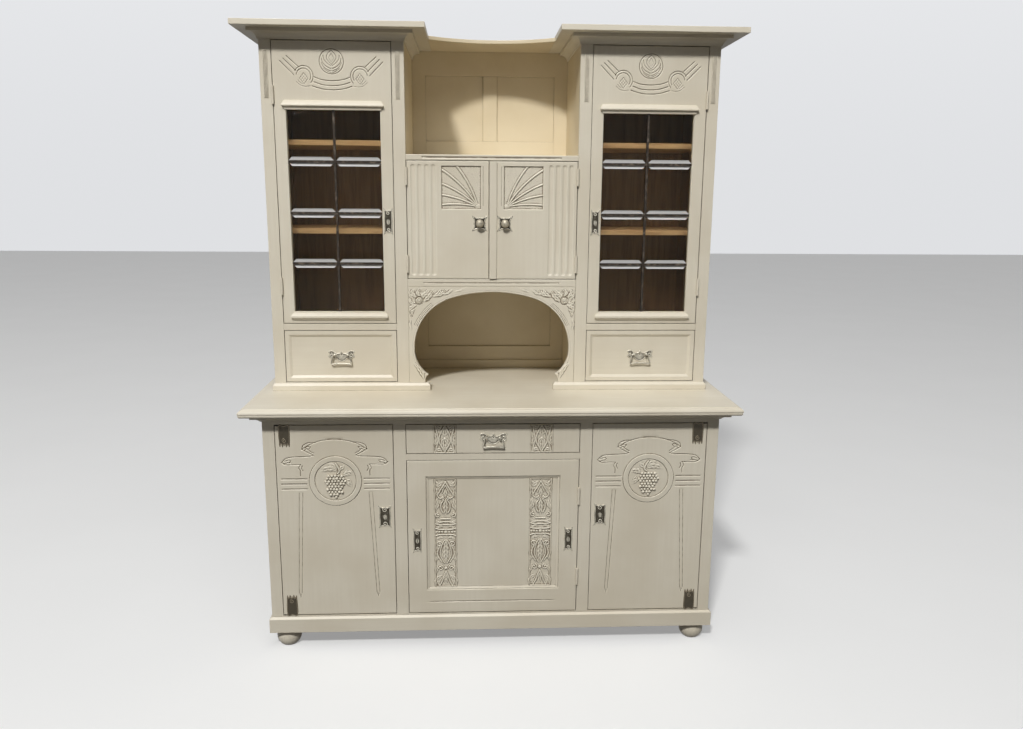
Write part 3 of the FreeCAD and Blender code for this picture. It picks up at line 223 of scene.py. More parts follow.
metals = {  # field, rubbed high places, where the rubbing starts and is full, metallic
    "iron": ((0.055, 0.044, 0.027, 1), (0.26, 0.215, 0.145, 1), (0.02, 0.6), 0.4),
    "patina": ((0.050, 0.042, 0.029, 1), (0.60, 0.56, 0.46, 1), (-0.05, 0.40), 0.7),
    "nickel": ((0.065, 0.055, 0.040, 1), (0.62, 0.58, 0.48, 1), (-0.32, 0.18), 0.8),
    "bronze": ((0.075, 0.063, 0.044, 1), (0.48, 0.43, 0.33, 1), (-0.34, 0.14), 0.6),
    "pits": (420, 3),
    "pitDepth": 0.0003,
    "stain": (90, 4, 0.40, 0.70),
}


def metalFinish(name):
    material, coords, shader = newFinish(name)
    field, rubbed, reach, metallic = metals[name]
    pits = coords.noise(*metals["pits"])
    stain = coords.patches(*metals["stain"])
    carved = coords.node("ShaderNodeAttribute", {"attribute_name": "carve"}, {}, "Fac")
    bright = (carved * -1 + pits.fade(0.5, 0.75) * 0.15 - stain * 0.12).fade(*reach)
    feed(shader, Base_Color=bright.tint(field, rubbed), Metallic=metallic,
         Roughness=0.36 + stain * 0.2 + pits * 0.15, Normal=pits.bump(0.4, metals["pitDepth"]))
    return material


came = {
    "dark": (0.040, 0.032, 0.026, 1),
    "bright": (0.16, 0.13, 0.10, 1),
    "metallic": 0.9,
}


def cameFinish():
    material, coords, shader = newFinish("darkCame")
    tarnish = coords.noise(90, 4)
    feed(shader, Base_Color=tarnish.fade(0.45, 0.75).tint(came["dark"], came["bright"]),
         Metallic=came["metallic"], Roughness=0.3 + tarnish * 0.3, Normal=tarnish.bump(0.3, 0.0002))
    return material


glass = {
    "tint": (0.91, 0.85, 0.75, 1),
    "smoke": (0.85, 0.78, 0.67, 1),
    "index": 1.18,
    "mirror": 0.05,
    # pale colour of the ground bevels, a painted highlight
    "edge": (0.94, 0.94, 0.92, 1),
    "highlightClear": 0.35,
    "highlightMirror": 0.5,
    "rippleScale": 22,
    "rippleDepth": 0.00025,
}


def glassFinish(name, edge=False):
    material, coords, shader = newFinish(name)
    ripple = coords.noise(glass["rippleScale"], 1)
    feed(shader, IOR=glass["index"], Roughness=ripple.fade(0.4, 0.9) * 0.03,
         Normal=ripple.bump(0.12, glass["rippleDepth"]))
    if edge:  # ground bevels, pale and less clear as a painted highlight
        feed(shader, Base_Color=glass["edge"], Transmission_Weight=glass["highlightClear"],
             Specular_IOR_Level=glass["highlightMirror"])
    else:
        feed(shader, Base_Color=coords.noise(9, 2).tint(glass["tint"], glass["smoke"]),
             Transmission_Weight=1.0, Specular_IOR_Level=glass["mirror"])
    return material


towerInside = (0.307, 0.765, 0.906, 2.066)  # across and up, in metres
baseInside = (0.0, 0.765, 0.090, 0.850)
floorInside = (0.0, 9.0, 0.0, 9.0, -0.255)
finishes = {
    "paintUpright": paintFinish("creamPaintUpright", "z"),
    "paintLevel": paintFinish("creamPaintLevel", "x"),
    "nichePaint": paintFinish("creamPaintNicheBounceLit", "z", None, True),
    "towerCase": paintFinish("creamPaintTowerCase", "z", towerInside, True),
    "baseCase": paintFinish("creamPaintBaseCase", "z", baseInside),
    "baseFloor": paintFinish("creamPaintBaseFloor", "x", floorInside),
    "woodUpright": woodFinish("bareWoodUpright", "z"),
    "woodLevel": woodFinish("bareWoodLevel", "x"),
    "woodDeep": woodFinish("bareWoodDeep", "y"),
    "woodBack": woodFinish("darkWoodBackAndShade", "z", "inside"),
    "iron": metalFinish("iron"),
    "patina": metalFinish("patina"),
    "nickel": metalFinish("nickel"),
    "bronze": metalFinish("bronze"),
    "came": cameFinish(),
    "glass": glassFinish("bevelledGlass"),
    "glassHighlight": glassFinish("bevelHighlightGlass", True),
}
print("finishes:", len(finishes))


def spanOf(node):
    low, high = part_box(node)
    return {name: (low[axis] / mm, high[axis] / mm) for axis, name in enumerate("xyz")}


def middle(span):
    return (span[0] + span[1]) / 2


def smoothPath(points, steps=9):  # a curve through a few given points
    knots = np.array([points[0], *points, points[-1]], float)
    share = np.linspace(0, 1, steps, endpoint=False)[:, None]
    runs = []
    for a, b, c, d in zip(knots, knots[1:], knots[2:], knots[3:]):
        bend = (2 * a - 5 * b + 4 * c - d) * share**2 + (3 * b - a - 3 * c + d) * share**3
        runs.append(b + ((c - a) * share + bend) / 2)
    return np.concatenate([*runs, knots[-1:]])


def arcPath(centre, radius, start, end, steps=24):
    turn = np.radians(np.linspace(start, end, steps))
    return np.column_stack([centre[0] + radius * np.cos(turn), centre[1] + radius * np.sin(turn)])


def scrollPath(centre, radius, start, turns, inner=0.25, steps=26):
    share = np.linspace(0, 1, steps)
    turn = np.radians(start) + 2 * math.pi * turns * share
    reach = radius * (1 - (1 - inner) * share)
    return np.column_stack([centre[0] + reach * np.cos(turn), centre[1] + reach * np.sin(turn)])


def mirrored(path, way):
    return np.asarray(path, float) * (way, 1)


def bell(x):
    return 0.5 + 0.5 * np.cos(np.pi * np.clip(np.abs(x), 0, 1))


def roundTop(x):
    return np.sqrt(np.clip(1 - x**2, 0, 1))


def closed(loop):
    return np.vstack([loop, loop[:1]])


def insetOf(x, z, spanX, spanZ):  # how far points lie inside a rectangle
    return np.minimum.reduce([x - spanX[0], spanX[1] - x, z - spanZ[0], spanZ[1] - z])


class Relief:  # heights, in millimetres, over the points of a face
    def __init__(self, x, z):
        self.x, self.z = x, z
        self.u, self.v = x, z
        self.height = np.zeros_like(x)
        self.ground = np.zeros_like(x)
        self.drop = np.zeros_like(x)  # rounded outer edges, kept apart from the carving
        self.keep = np.ones_like(x)  # share of the dark glaze and painted shade that stays in the hollows

    def centre(self, x, z, way=1):
        self.u, self.v = (self.x - x) * way, self.z - z

    def along(self, path, reach):
        path = np.asarray(path, float)
        low, high = path.min(0) - reach, path.max(0) + reach
        near = np.nonzero(insetOf(self.u, self.v, (low[0], high[0]), (low[1], high[1])) > 0)[0]
        u, v = self.u[near], self.v[near]
        gap = np.full(u.shape, np.inf)
        share, side = np.zeros_like(u), np.ones_like(u)
        lengths = np.hypot(*np.diff(path, axis=0).T)
        starts = np.concatenate([[0], np.cumsum(lengths)])
        for number, (start, end) in enumerate(zip(path, path[1:])):
            if lengths[number] == 0:
                continue
            step = end - start
            du, dv = u - start[0], v - start[1]
            part = np.clip((du * step[0] + dv * step[1]) / lengths[number]**2, 0, 1)
            away = np.hypot(du - part * step[0], dv - part * step[1])
            closer = away < gap
            gap[closer] = away[closer]
            share[closer] = ((starts[number] + part * lengths[number]) / starts[-1])[closer]
            side[closer] = np.where(step[0] * dv - step[1] * du < 0, -1, 1)[closer]
        return near, share, gap * side

    def gapTo(self, path, reach):
        near, _, gap = self.along(path, reach)
        away = np.full(self.x.shape, far)
        away[near] = np.abs(gap)
        return away

    def lift(self, near, amount):
        self.height[near] = np.maximum(self.height[near], self.ground[near] + amount)

    def cutLine(self, path, width, depth):
        near, _, gap = self.along(path, width)
        self.height[near] -= depth * bell(gap / (width / 2))

    def hollow(self, path, width, depth):
        near, _, gap = self.along(path, width)
        self.height[near] = np.minimum(self.height[near], -depth * roundTop(gap / (width / 2)))

    def trough(self, path, width, depth, taper, lip=2.2):  # flat floor between two steep sides
        near, share, gap = self.along(path, width)
        half = width / 2 * (1 - taper * share)
        self.height[near] -= depth * np.clip((half - np.abs(gap)) / lip, 0, 1)

    def bead(self, path, width, height):
        near, _, gap = self.along(path, width)
        crown = roundTop(gap / (width / 2))
        self.lift(near, np.where(crown > 0, height * crown, -far))

    def leaf(self, path, width, height, lobes=4):
        near, share, gap = self.along(path, width)
        swell = np.sin(np.pi * np.clip(share, 0.02, 0.995)**0.75)**0.8
        notch = 0.70 + 0.30 * np.abs(np.cos(np.pi * lobes * share))
        across = np.abs(gap) / (width / 2 * swell * notch + 0.2)
        body = height * (1 - 0.4 * share) * roundTop(across)**0.8
        vein = 0.45 * height * bell(gap / (0.10 * width + 0.8))
        ribs = 0.22 * height * (0.5 + 0.5 * np.cos(2 * np.pi * (lobes * share - 0.7 * across)))
        self.lift(near, np.where(across < 1, body - vein - ribs, -far))

    def pattern(self, shapes):  # the leaves, beads and scrolls of a piece
        for path, width, height, lobes in shapes["leaves"]:
            self.leaf(smoothPath(path), width, height, lobes)
        for path, width, height in shapes["beads"]:
            self.bead(smoothPath(path), width, height)
        for scroll in shapes["scrolls"]:
            self.bead(scrollPath(*scroll), *shapes["scrollBead"])

    def dome(self, centre, radius, height):
        away = np.hypot(self.u - centre[0], self.v - centre[1])
        near = np.nonzero(away < radius)[0]
        self.lift(near, height * roundTop(away[near] / radius))

    def ring(self, centre, radius, width, height):
        away = (np.hypot(self.u - centre[0], self.v - centre[1]) - radius) / (width / 2)
        near = np.nonzero(np.abs(away) < 1)[0]
        self.lift(near, height * np.clip(2.6 * roundTop(away[near]), 0, 1))  # a flat band with round edges

    def panel(self, low, high, depth, slope):  # sunk (or raised, with a negative depth) with sloped sides
        inset = insetOf(self.u, self.v, (low[0], high[0]), (low[1], high[1]))
        share = np.clip(inset / slope, 0, 1)
        self.height -= depth * share
        self.ground = np.where(inset > 0, self.height, self.ground)
        return inset > slope

    def stipple(self, where, depth, seed):
        grains = np.random.default_rng(seed).random(self.height.shape)
        self.height[where] -= depth * grains[where]

    def roundEdges(self, x, z, radius):
        self.soften(insetOf(self.x, self.z, x, z), radius)

    def soften(self, inset, radius):
        short = np.clip(radius - inset, 0, radius)
        self.drop = np.maximum(self.drop, radius - np.sqrt(radius**2 - short**2))


carveMark = {
    "rounds": 9,
    "reach": 2.2,
    "depth": 0.8,
    "edgeWearAndHighlight": 0.6,
    "edgeDrop": 0.05,  # edges rounded by more than this get the worn and lit mark: wear and painted highlight
    "sharpAngle": 42,
    "flatAngle": 12,
}


def markCarving(mesh, height, drop, keep):  # above 0 in hollows, below 0 on crests and edges; paint turns the first into glaze and painted shade, the second into wear and painted highlight
    ends = np.empty(len(mesh.edges) * 2, np.int32)
    mesh.edges.foreach_get("vertices", ends)
    a, b = ends.reshape(-1, 2).T
    places = np.empty(len(mesh.vertices) * 3, np.float32)
    mesh.vertices.foreach_get("co", places)
    places = places.reshape(-1, 3)[:, ::2] / mm
    lengths = np.hypot(*(places[a] - places[b]).T)
    pull = 1 / (1 + (lengths / carveMark["reach"])**4)  # long edges carry nothing
    count = len(height)
    shared = np.bincount(a, pull, count) + np.bincount(b, pull, count) + 1
    blurred = height
    for _ in range(carveMark["rounds"]):
        gathered = blurred + np.bincount(a, blurred[b] * pull, count)
        blurred = (gathered + np.bincount(b, blurred[a] * pull, count)) / shared
    mark = np.clip((blurred - height) / carveMark["depth"], -1, 1) * keep
    storeMark(mesh, np.where(drop > carveMark["edgeDrop"], np.minimum(mark, -carveMark["edgeWearAndHighlight"]), mark))


def storeMark(mesh, mark):
    mesh.attributes.new("carve", "FLOAT", "POINT").data.foreach_set("value", mark.astype(np.float32))


def closeBack(name, relief, cells, face, back):  # sides and a flat back turn a carved face into a solid
    used, renumbered = np.unique(cells, return_inverse=True)
    points = np.column_stack([relief.x, face - relief.height + relief.drop, relief.z])[used] * mm
    mesh = bpy.data.meshes.new(name)
    mesh.from_pydata(points.tolist(), [], renumbered.reshape(cells.shape).tolist())
    markCarving(mesh, relief.height[used], relief.drop[used], relief.keep[used])
    solid = bmesh.new()
    solid.from_mesh(mesh)
    rim = [edge for edge in solid.edges if edge.is_boundary]
    grown = bmesh.ops.extrude_edge_only(solid, edges=rim)["geom"]
    sunk = {part for part in grown if isinstance(part, bmesh.types.BMVert)}
    for corner in sunk:
        corner.co.y = back * mm
    backRim = {edge for corner in sunk for edge in corner.link_edges if edge.other_vert(corner) in sunk}
    bmesh.ops.triangle_fill(solid, use_beauty=True, use_dissolve=False, edges=list(backRim))
    bmesh.ops.recalc_face_normals(solid, faces=solid.faces)
    solid.to_mesh(mesh)
    solid.free()
    return smoothed(mesh, carveMark["sharpAngle"])


gridRule = {"edgeShares": (0.1, 0.35, 0.7, 1), "closest": 0.12}


def gridLines(span, fineSpans, grid):  # fine steps in some spans, coarse ones elsewhere
    low, high = span
    fine, coarse, edge = (grid[name] for name in ("fine", "coarse", "edge"))
    marks = sorted({low, high, *[mark for part in fineSpans for mark in part if low < mark < high]})
    lines = []
    for start, end in zip(marks, marks[1:]):
        fits = any(part[0] <= (start + end) / 2 <= part[1] for part in fineSpans)
        lines.extend(np.linspace(start, end, math.ceil((end - start) / (fine if fits else coarse)) + 1))
    for share in gridRule["edgeShares"]:
        lines.extend([low + edge * share, high - edge * share])
    lines = np.unique(np.round(lines, 2))
    return lines[np.concatenate([[True], np.diff(lines) > gridRule["closest"]])]


def carvedBoard(name, box, spans, grid, carve, depth=None, hole=None):  # spans along x and z get fine steps
    lines = []
    for axis in "xz":
        found = gridLines(box[axis], spans[axis], {**grid, **grid.get(axis, {})})
        lines.append(np.union1d(found, np.round(hole[axis], 2)) if hole else found)
    gridX, gridZ = np.meshgrid(*lines)
    relief = Relief(gridX.ravel(), gridZ.ravel())
    carve(relief)
    number = np.arange(gridX.size).reshape(gridX.shape)
    cells = np.stack([number[:-1, :-1], number[:-1, 1:], number[1:, 1:], number[1:, :-1]], -1).reshape(-1, 4)
    if hole:
        cells = cells[insetOf(relief.x[cells].mean(1), relief.z[cells].mean(1), hole["x"], hole["z"]) < 0]
    front, back = box["y"]
    return closeBack(name, relief, cells, back - depth if depth else front, back)


def withinLoop(points, loop):
    inside = np.zeros(len(points), bool)
    for start, end in zip(loop, np.roll(loop, -1, axis=0)):
        crosses = (start[1] > points[:, 1]) != (end[1] > points[:, 1])
        rise = end[1] - start[1] or 1e-9
        meets = start[0] + (points[:, 1] - start[1]) * (end[0] - start[0]) / rise
        inside ^= crosses & (points[:, 0] < meets)
    return inside


def cutPlate(name, outline, spacing, carve, face, back):  # a carved plate of any outline
    low, high = outline.min(0), outline.max(0)
    columns, rows = np.arange(low[0], high[0], spacing), np.arange(low[1], high[1], spacing * rowShare)
    x, z = np.meshgrid(columns, rows)
    x[1::2] += spacing / 2
    inner = np.column_stack([x.ravel(), z.ravel()])
    inner = inner[withinLoop(inner, outline)]
    clear = Relief(*inner.T).gapTo(closed(outline), spacing) >= spacing * 0.45
    count = len(outline)
    edges = [(k, (k + 1) % count) for k in range(count)]
    points = [Vector(point) for point in np.vstack([outline, inner[clear]])]
    corners, _, triangles, *_ = delaunay_2d_cdt(points, edges, [], 0, 1e-6)
    points, triangles = np.array([tuple(c) for c in corners]), np.array(triangles)
    triangles = triangles[withinLoop(points[triangles].mean(1), outline)]
    a, b, c = (points[triangles[:, k]] for k in range(3))
    turned = np.cross(b - a, c - a) < 0
    triangles[turned] = triangles[turned][:, ::-1]
    relief = Relief(*points.T)
    carve(relief)
    return closeBack(name, relief, triangles, face, back)


softEdge = {"merge": 0.01, "flat": 0.5, "sharp": 35, "segments": 2, "profile": 0.6}


def meshOf(shape, name):
    mesh = bpy.data.meshes.new(name)
    shape.to_mesh(mesh)
    shape.free()
    return mesh


def bevelEdges(shape, edges, width):
    bmesh.ops.bevel(shape, geom=edges, offset=width * mm, segments=softEdge["segments"],
                    profile=softEdge["profile"], affect="EDGES", clamp_overlap=True)


def smoothed(mesh, angle):
    mesh.shade_smooth()
    mesh.set_sharp_from_angle(angle=math.radians(angle))
    return mesh


def keptIslands(node, keeps, bevel, curved=True):  # some of a node's solids, with softened edges
    copy = bmesh.new()
    copy.from_mesh(nodes[node].data)
    bmesh.ops.remove_doubles(copy, verts=copy.verts, dist=softEdge["merge"] * mm)
    seen, dropped = set(), []
    for start in copy.verts:
        if start in seen:
            continue
        island, queue = {start}, [start]
        while queue:
            for edge in queue.pop().link_edges:
                fresh = {v for v in edge.verts if v not in island}
                island |= fresh
                queue.extend(fresh)
        seen |= island
        corners = np.array([v.co for v in island]) / mm
        if not keeps(corners.min(0), corners.max(0)):
            dropped.extend(island)
    bmesh.ops.delete(copy, geom=dropped, context="VERTS")
    flat, steep = (math.radians(softEdge[name]) for name in ("flat", "sharp"))
    bmesh.ops.dissolve_limit(copy, angle_limit=flat, verts=copy.verts, edges=copy.edges)
    sharp = [edge for edge in copy.edges if edge.is_manifold and all(v.is_manifold for v in edge.verts)
             and edge.calc_face_angle() > steep]  # corners that two boards share stay as they are
    bevelEdges(copy, sharp, bevel)
    mesh = meshOf(copy, node + "_kept")
    for layer in ("custom_normal", "sharp_edge", "sharp_face"):  # the bevelled copy gets normals of its own
        if layer in mesh.attributes:
            mesh.attributes.remove(mesh.attributes[layer])
    if curved:
        return smoothed(mesh, carveMark["flatAngle"])
    mesh.shade_flat()
    return mesh


def loftMesh(name, rings, angle):  # a skin over rings of points, closed at both ends
    shape = bmesh.new()
    rings = [[shape.verts.new(Vector(point) * mm) for point in ring] for ring in rings]
    for low, high in zip(rings, rings[1:]):
        for k in range(len(low)):
            after = (k + 1) % len(low)
            shape.faces.new((low[k], low[after], high[after], high[k]))
    shape.faces.new(rings[0])
    shape.faces.new(rings[-1])
    bmesh.ops.recalc_face_normals(shape, faces=shape.faces)
    return smoothed(meshOf(shape, name), angle)


def mouldedMesh(name, x, y, profile):  # profile of (step in from the front and the ends, height), foot first
    rings = []
    for inset, z in profile:
        west, east, front = x[0] + inset, x[1] - inset, y[0] + inset
        rings.append([(west, front, z), (east, front, z), (east, y[1], z), (west, y[1], z)])
    return loftMesh(name, rings, carveMark["flatAngle"])


def joinedPiece(name, meshes, finish, body, replaced=()):
    whole = bmesh.new()
    whole.verts.layers.float.new("carve")
    for mesh in meshes:
        whole.from_mesh(mesh)
        bpy.data.meshes.remove(mesh)
    finishedPiece(name, meshOf(whole, name), finish, body, replaced)


def newObject(name, data):
    made = bpy.data.objects.new(name, data)
    bpy.context.scene.collection.objects.link(made)
    return made


def finishedPiece(name, mesh, finish, body, replaced=()):
    if finish:
        mesh.materials.clear()
        mesh.materials.append(finishes[finish])
    piece = newObject(name, mesh)
    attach(piece, body)
    if replaced:
        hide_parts(*replaced)


baseDoor = {
    "fine": 1.25,
    "coarse": 7,
    "edge": 2.0,
    "thickness": 20,
    "medallionDrop": 196,
    "ring": (79, 17, 2.2),  # middle radius, width, height
    "ringRims": (69.5, 88.5),
    "ringLine": (3, 1.2),  # lines have a width and a depth, beads a width and a height
    "carvedSpan": (-92, 146),  # down and up from the medallion's middle
    "line": (4.8, 2.5),
    "ribbon": [
        [(0, 147), (40, 143), (76, 132), (109, 112)],
        [(109, 112), (104, 126), (86, 135), (62, 136)],
        [(109, 112), (88, 100), (71, 91)],
        [(71, 91), (88, 87), (140, 85), (165, 79), (178, 66)],
        [(178, 66), (165, 58), (140, 58), (116, 58)],
        [(116, 58), (122, 46), (117, 36), (117, 19)],
        [(168, 70), (157, 74), (148, 71), (154, 65)],
        [(172, 60), (160, 64), (146, 64)],
        [(99, 115), (91, 121), (80, 121), (84, 114)],
        [(100, 108), (92, 114), (80, 104), (70, 98)],
        [(110, 54), (112, 44), (108, 36)],
    ],
    "ribs": {"inner": 97, "outer": 182, "rises": (7, -11, -29), "line": (6, 2.6)},
    "stem": {"edges": [[(112, -42), (130, -410), (135, -424)], [(124, -42), (140, -410), (135, -424)]],
             "line": (4, 1.7), "floor": (10, 0.6, 0.3)},  # the floor narrows by the third value
    "leaves": [  # path from stalk to tip, width, height, lobes
        ([(2, 38), (-14, 44), (-32, 42), (-50, 32)], 22, 3.4, 3),
        ([(4, 42), (-2, 50), (-10, 56), (-24, 60)], 16, 3.2, 2),
        ([(12, 38), (20, 44), (28, 52), (30, 58)], 16, 3.2, 2),
        ([(28, 20), (38, 26), (48, 28), (60, 20)], 22, 3.4, 3),
        ([(34, -6), (42, -8), (50, -14), (56, -24)], 16, 3.2, 2),
    ],
    "beads": [([(2, 62), (10, 48), (14, 34), (8, 26)], 6, 3.5)],
    "scrolls": [((44, -2), 9, 200, 1.4)],  # centre, radius, start angle, turns
    "scrollBead": (3.4, 2.4),
}


def carveBaseDoor(relief, box, way):
    d = baseDoor
    relief.centre(middle(box["x"]), box["z"][1] - d["medallionDrop"], way)
    relief.roundEdges(box["x"], box["z"], d["edge"])
    relief.ring((0, 0), *d["ring"])
    for radius in d["ringRims"]:
        relief.cutLine(arcPath((0, 0), radius, 0, 360, 72), *d["ringLine"])
    relief.pattern(d)
    for end in (-1, 1):
        for line in d["ribbon"]:
            relief.cutLine(mirrored(smoothPath(line), end), *d["line"])
        ribs = d["ribs"]
        for rise in ribs["rises"]:
            relief.cutLine(mirrored([(ribs["inner"], rise), (ribs["outer"], rise)], end), *ribs["line"])
        stem = d["stem"]
        relief.trough(mirrored(np.mean(stem["edges"], 0), end), *stem["floor"])
        for edge in stem["edges"]:
            relief.cutLine(mirrored(edge, end), *stem["line"])


def makeBaseDoor(name, way):
    node = f"base_{name}_door"
    box = spanOf(node)
    d = baseDoor
    carvedSpan = [box["z"][1] - d["medallionDrop"] + edge for edge in d["carvedSpan"]]
    mesh = carvedBoard(node + "_carved", box, {"x": [box["x"]], "z": [carvedSpan]}, d,
                       lambda relief: carveBaseDoor(relief, box, way), d["thickness"])
    finishedPiece(node + "_carved", mesh, "paintUpright", node, [node])


for sideName, side in sides.items():
    makeBaseDoor(sideName, -side)
print("base doors carved")

grapes = {
    "rows": 9,
    "across": 7,
    "pitch": 11,
    "radius": 5.6,
    "middle": (0, -20),
    "seat": 1.6,  # how far the middle of a grape stands in front of the door's face
    "seed": 7,
    "reach": 0.53,  # half of the bunch, as a share of the grid's width
    "belly": (2.1, 0.18, 0.8),  # wide shoulders and a thin tip: run, start and power of a sine
    "shake": 0.8,
    "sizes": (0.86, 1.08),
    "shadeAndHighlight": (1.2, 1.9, -0.9),  # glaze and painted shade where grapes meet, painted highlight on their fronts: start, fall and least
}


def newTree(name, inputs):
    tree = bpy.data.node_groups.new(name, "GeometryNodeTree")
    tree.interface.new_socket("Geometry", in_out="INPUT", socket_type="NodeSocketGeometry")
    for label, kind in inputs.items():
        tree.interface.new_socket(label, in_out="INPUT", socket_type="NodeSocket" + kind)
    tree.interface.new_socket("Geometry", in_out="OUTPUT", socket_type="NodeSocketGeometry")
    start = tree.nodes.new("NodeGroupInput")
    return tree, {socket.name: Signal(tree, socket) for socket in start.outputs if socket.name}


def endTree(tree, shapes, finish):  # real faces with their finish
    real = shapes.node("GeometryNodeRealizeInstances", {}, {0: shapes})
    done = real.node("GeometryNodeSetMaterial", {}, {"Geometry": real, "Material": finish})
    tree.links.new(done.socket, tree.nodes.new("NodeGroupOutput").inputs[0])


def grownMesh(name, tree, values, points=None):  # runs a tree once and keeps its result as a plain mesh
    holder = newObject(name, points or bpy.data.meshes.new(name))
    grow = holder.modifiers.new("grow", "NODES")
    grow.node_group = tree
    for item in tree.interface.items_tree:
        if item.in_out == "INPUT" and item.name in values:
            grow[item.identifier] = values[item.name]
    view = bpy.context.evaluated_depsgraph_get()
    mesh = bpy.data.meshes.new_from_object(holder.evaluated_get(view), depsgraph=view)
    bpy.data.objects.remove(holder)
    return mesh


def grapeTree():
    tree, given = newTree("grapeBunch", {"Rows": "Int", "Across": "Int", "Pitch": "Float", "Radius": "Float",
                                         "Seed": "Int", "Finish": "Material"})
    rows, pitch, radius = given["Rows"], given["Pitch"], given["Radius"]
    width = (given["Across"] - 1) * pitch
    height = (rows - 1) * pitch * rowShare
    grid = rows.node("GeometryNodeMeshGrid", {}, {
        "Size X": width, "Size Y": height, "Vertices X": given["Across"], "Vertices Y": rows})
    sideways, upward, _ = rows.node("GeometryNodeInputPosition", {}, {}).parts()
    row = rows.math("MODULO", rows.node("GeometryNodeInputIndex", {}, {}), rows)
    across = sideways + rows.math("MODULO", row, 2) * pitch * 0.5
    run, start, power = grapes["belly"]
    belly = rows.math("POWER", rows.math("SINE", rows.math("DIVIDE", row, rows) * run + start), power)
    outside = rows.math("ABSOLUTE", across).above(width * grapes["reach"] * belly)
    moved = rows.node("ShaderNodeCombineXYZ", {}, {0: across, 1: upward})
    sway = grapes["shake"] * mm
    shake = rows.node("FunctionNodeRandomValue", {"data_type": "FLOAT_VECTOR"},
                      {0: (-sway,) * 3, 1: (sway,) * 3, "Seed": given["Seed"]})
    placed = rows.node("GeometryNodeSetPosition", {}, {"Geometry": grid, "Position": moved, "Offset": shake})
    kept = rows.node("GeometryNodeDeleteGeometry", {"domain": "POINT"},
                     {"Geometry": placed, "Selection": outside})
    grape = rows.node("GeometryNodeMeshIcoSphere", {}, {"Radius": radius, "Subdivisions": 2})
    soft = rows.node("GeometryNodeSetShadeSmooth", {}, {"Geometry": grape})
    least, most = grapes["sizes"]
    size = rows.node("FunctionNodeRandomValue", {"data_type": "FLOAT"},
                     {2: least, 3: most, "Seed": given["Seed"]}, 1)
    bunch = rows.node("GeometryNodeInstanceOnPoints", {}, {"Points": kept, "Instance": soft, "Scale": size})
    endTree(tree, bunch, given["Finish"])
    return tree


grapeNodes = grapeTree()
for sideName, side in sides.items():
    box = spanOf(f"base_{sideName}_door")
    face = box["y"][1] - baseDoor["thickness"]
    bunch = grownMesh("bunch", grapeNodes, {"Rows": grapes["rows"], "Across": grapes["across"],
                                            "Pitch": grapes["pitch"] * mm, "Radius": grapes["radius"] * mm,
                                            "Seed": grapes["seed"], "Finish": finishes["paintUpright"]})
    spot = Vector((middle(box["x"]) - side * grapes["middle"][0], face - grapes["seat"],
                   box["z"][1] - baseDoor["medallionDrop"] + grapes["middle"][1])) * mm
    bunch.transform(Matrix.Translation(spot) @ Matrix.Rotation(math.pi / 2, 4, "X"))
    out = np.array([corner.co.y for corner in bunch.vertices]) / -mm + face
    start, fall, least = grapes["shadeAndHighlight"]
    # glaze and painted shade towards the backs of the grapes, painted highlight on their fronts
    storeMark(bunch, np.clip(start - out / grapes["radius"] * fall, least, 1))
    finishedPiece(f"base_{sideName}_grapes", bunch, "paintUpright", f"base_{sideName}_door")
print("grapes grown")

frieze = {
    "fine": 1.2,
    "coarse": 12,
    "x": {"fine": 1.5},  # steps along x
    "edge": 2.0,
    "thickness": 20,
    "medallionDrop": 65,  # below the door's top edge
    "medallionRadius": 40,
    "carvedSpan": (-96, 44),
    "line": (4.4, 2.5),
    "topArc": {"inset": 4.5, "start": 40, "end": 140, "line": (2.2, 0.9)},
    "ribbon": [[(148, 16), (111, -17)], [(159, 8), (119, -31)], [(170, 0), (126, -44)]],
    "knot": (94, -47),
    "knotArcs": [(32, 30, 222), (24, 10, 212)],  # radius, start and end angle
    "diamond": ((93, -55), 14, 18),  # centre, half width, half height
    "diamondLine": (3.2, 1.7),
    "hatchLine": (2.6, 1.2),
    "hatchShares": (0.34, 0.67),
    "tailLine": (3, 1.5),
    "sprayLine": (4, 2.0),
    "budLine": (3.4, 2),
    "coreLine": (2.6, 1.4),
    "grain": {"rise": 12, "wide": 6, "tall": 12, "depth": 1.0, "seed": 3},
    "tails": [[(118, -66), (106, -76), (90, -81), (74, -79)], [(113, -60), (106, -68), (98, -73)]],
    "swag": [
        [(59, -50), (36, -58), (0, -61.5)],
        [(60, -66), (30, -75), (0, -77)],
        [(66, -79), (34, -88), (0, -91)],
    ],
    "bud": [(0, 36), (13, 22), (15, 8), (0, -10)],
    "budCore": [(0, 26), (7, 15), (7, 8), (0, -2)],
    "sprays": [
        [(27, 20), (24, 6), (14, -6), (2, -14)],
        [(32, 10), (29, -4), (17, -16), (2, -23)],
        [(33, -4), (27, -16), (16, -25), (2, -31)],
        [(26, -22), (16, -30), (2, -37)],
    ],
    "hood": [(8, 0), (7, 5), (4, 9), (0.5, 11), (0, 12), (0, 15), (1, 17.5), (5, 24), (8, 28.5), (9, 30)],
    "sill": [(7, 0), (5, 4), (1.5, 7), (0, 8.5), (0, 15), (2, 18), (6, 23), (8, 25)],
    "hoodOverlap": 13,
    "hoodDepth": 12,
    "sillDrop": 5,
    "sillDepth": 10,
}


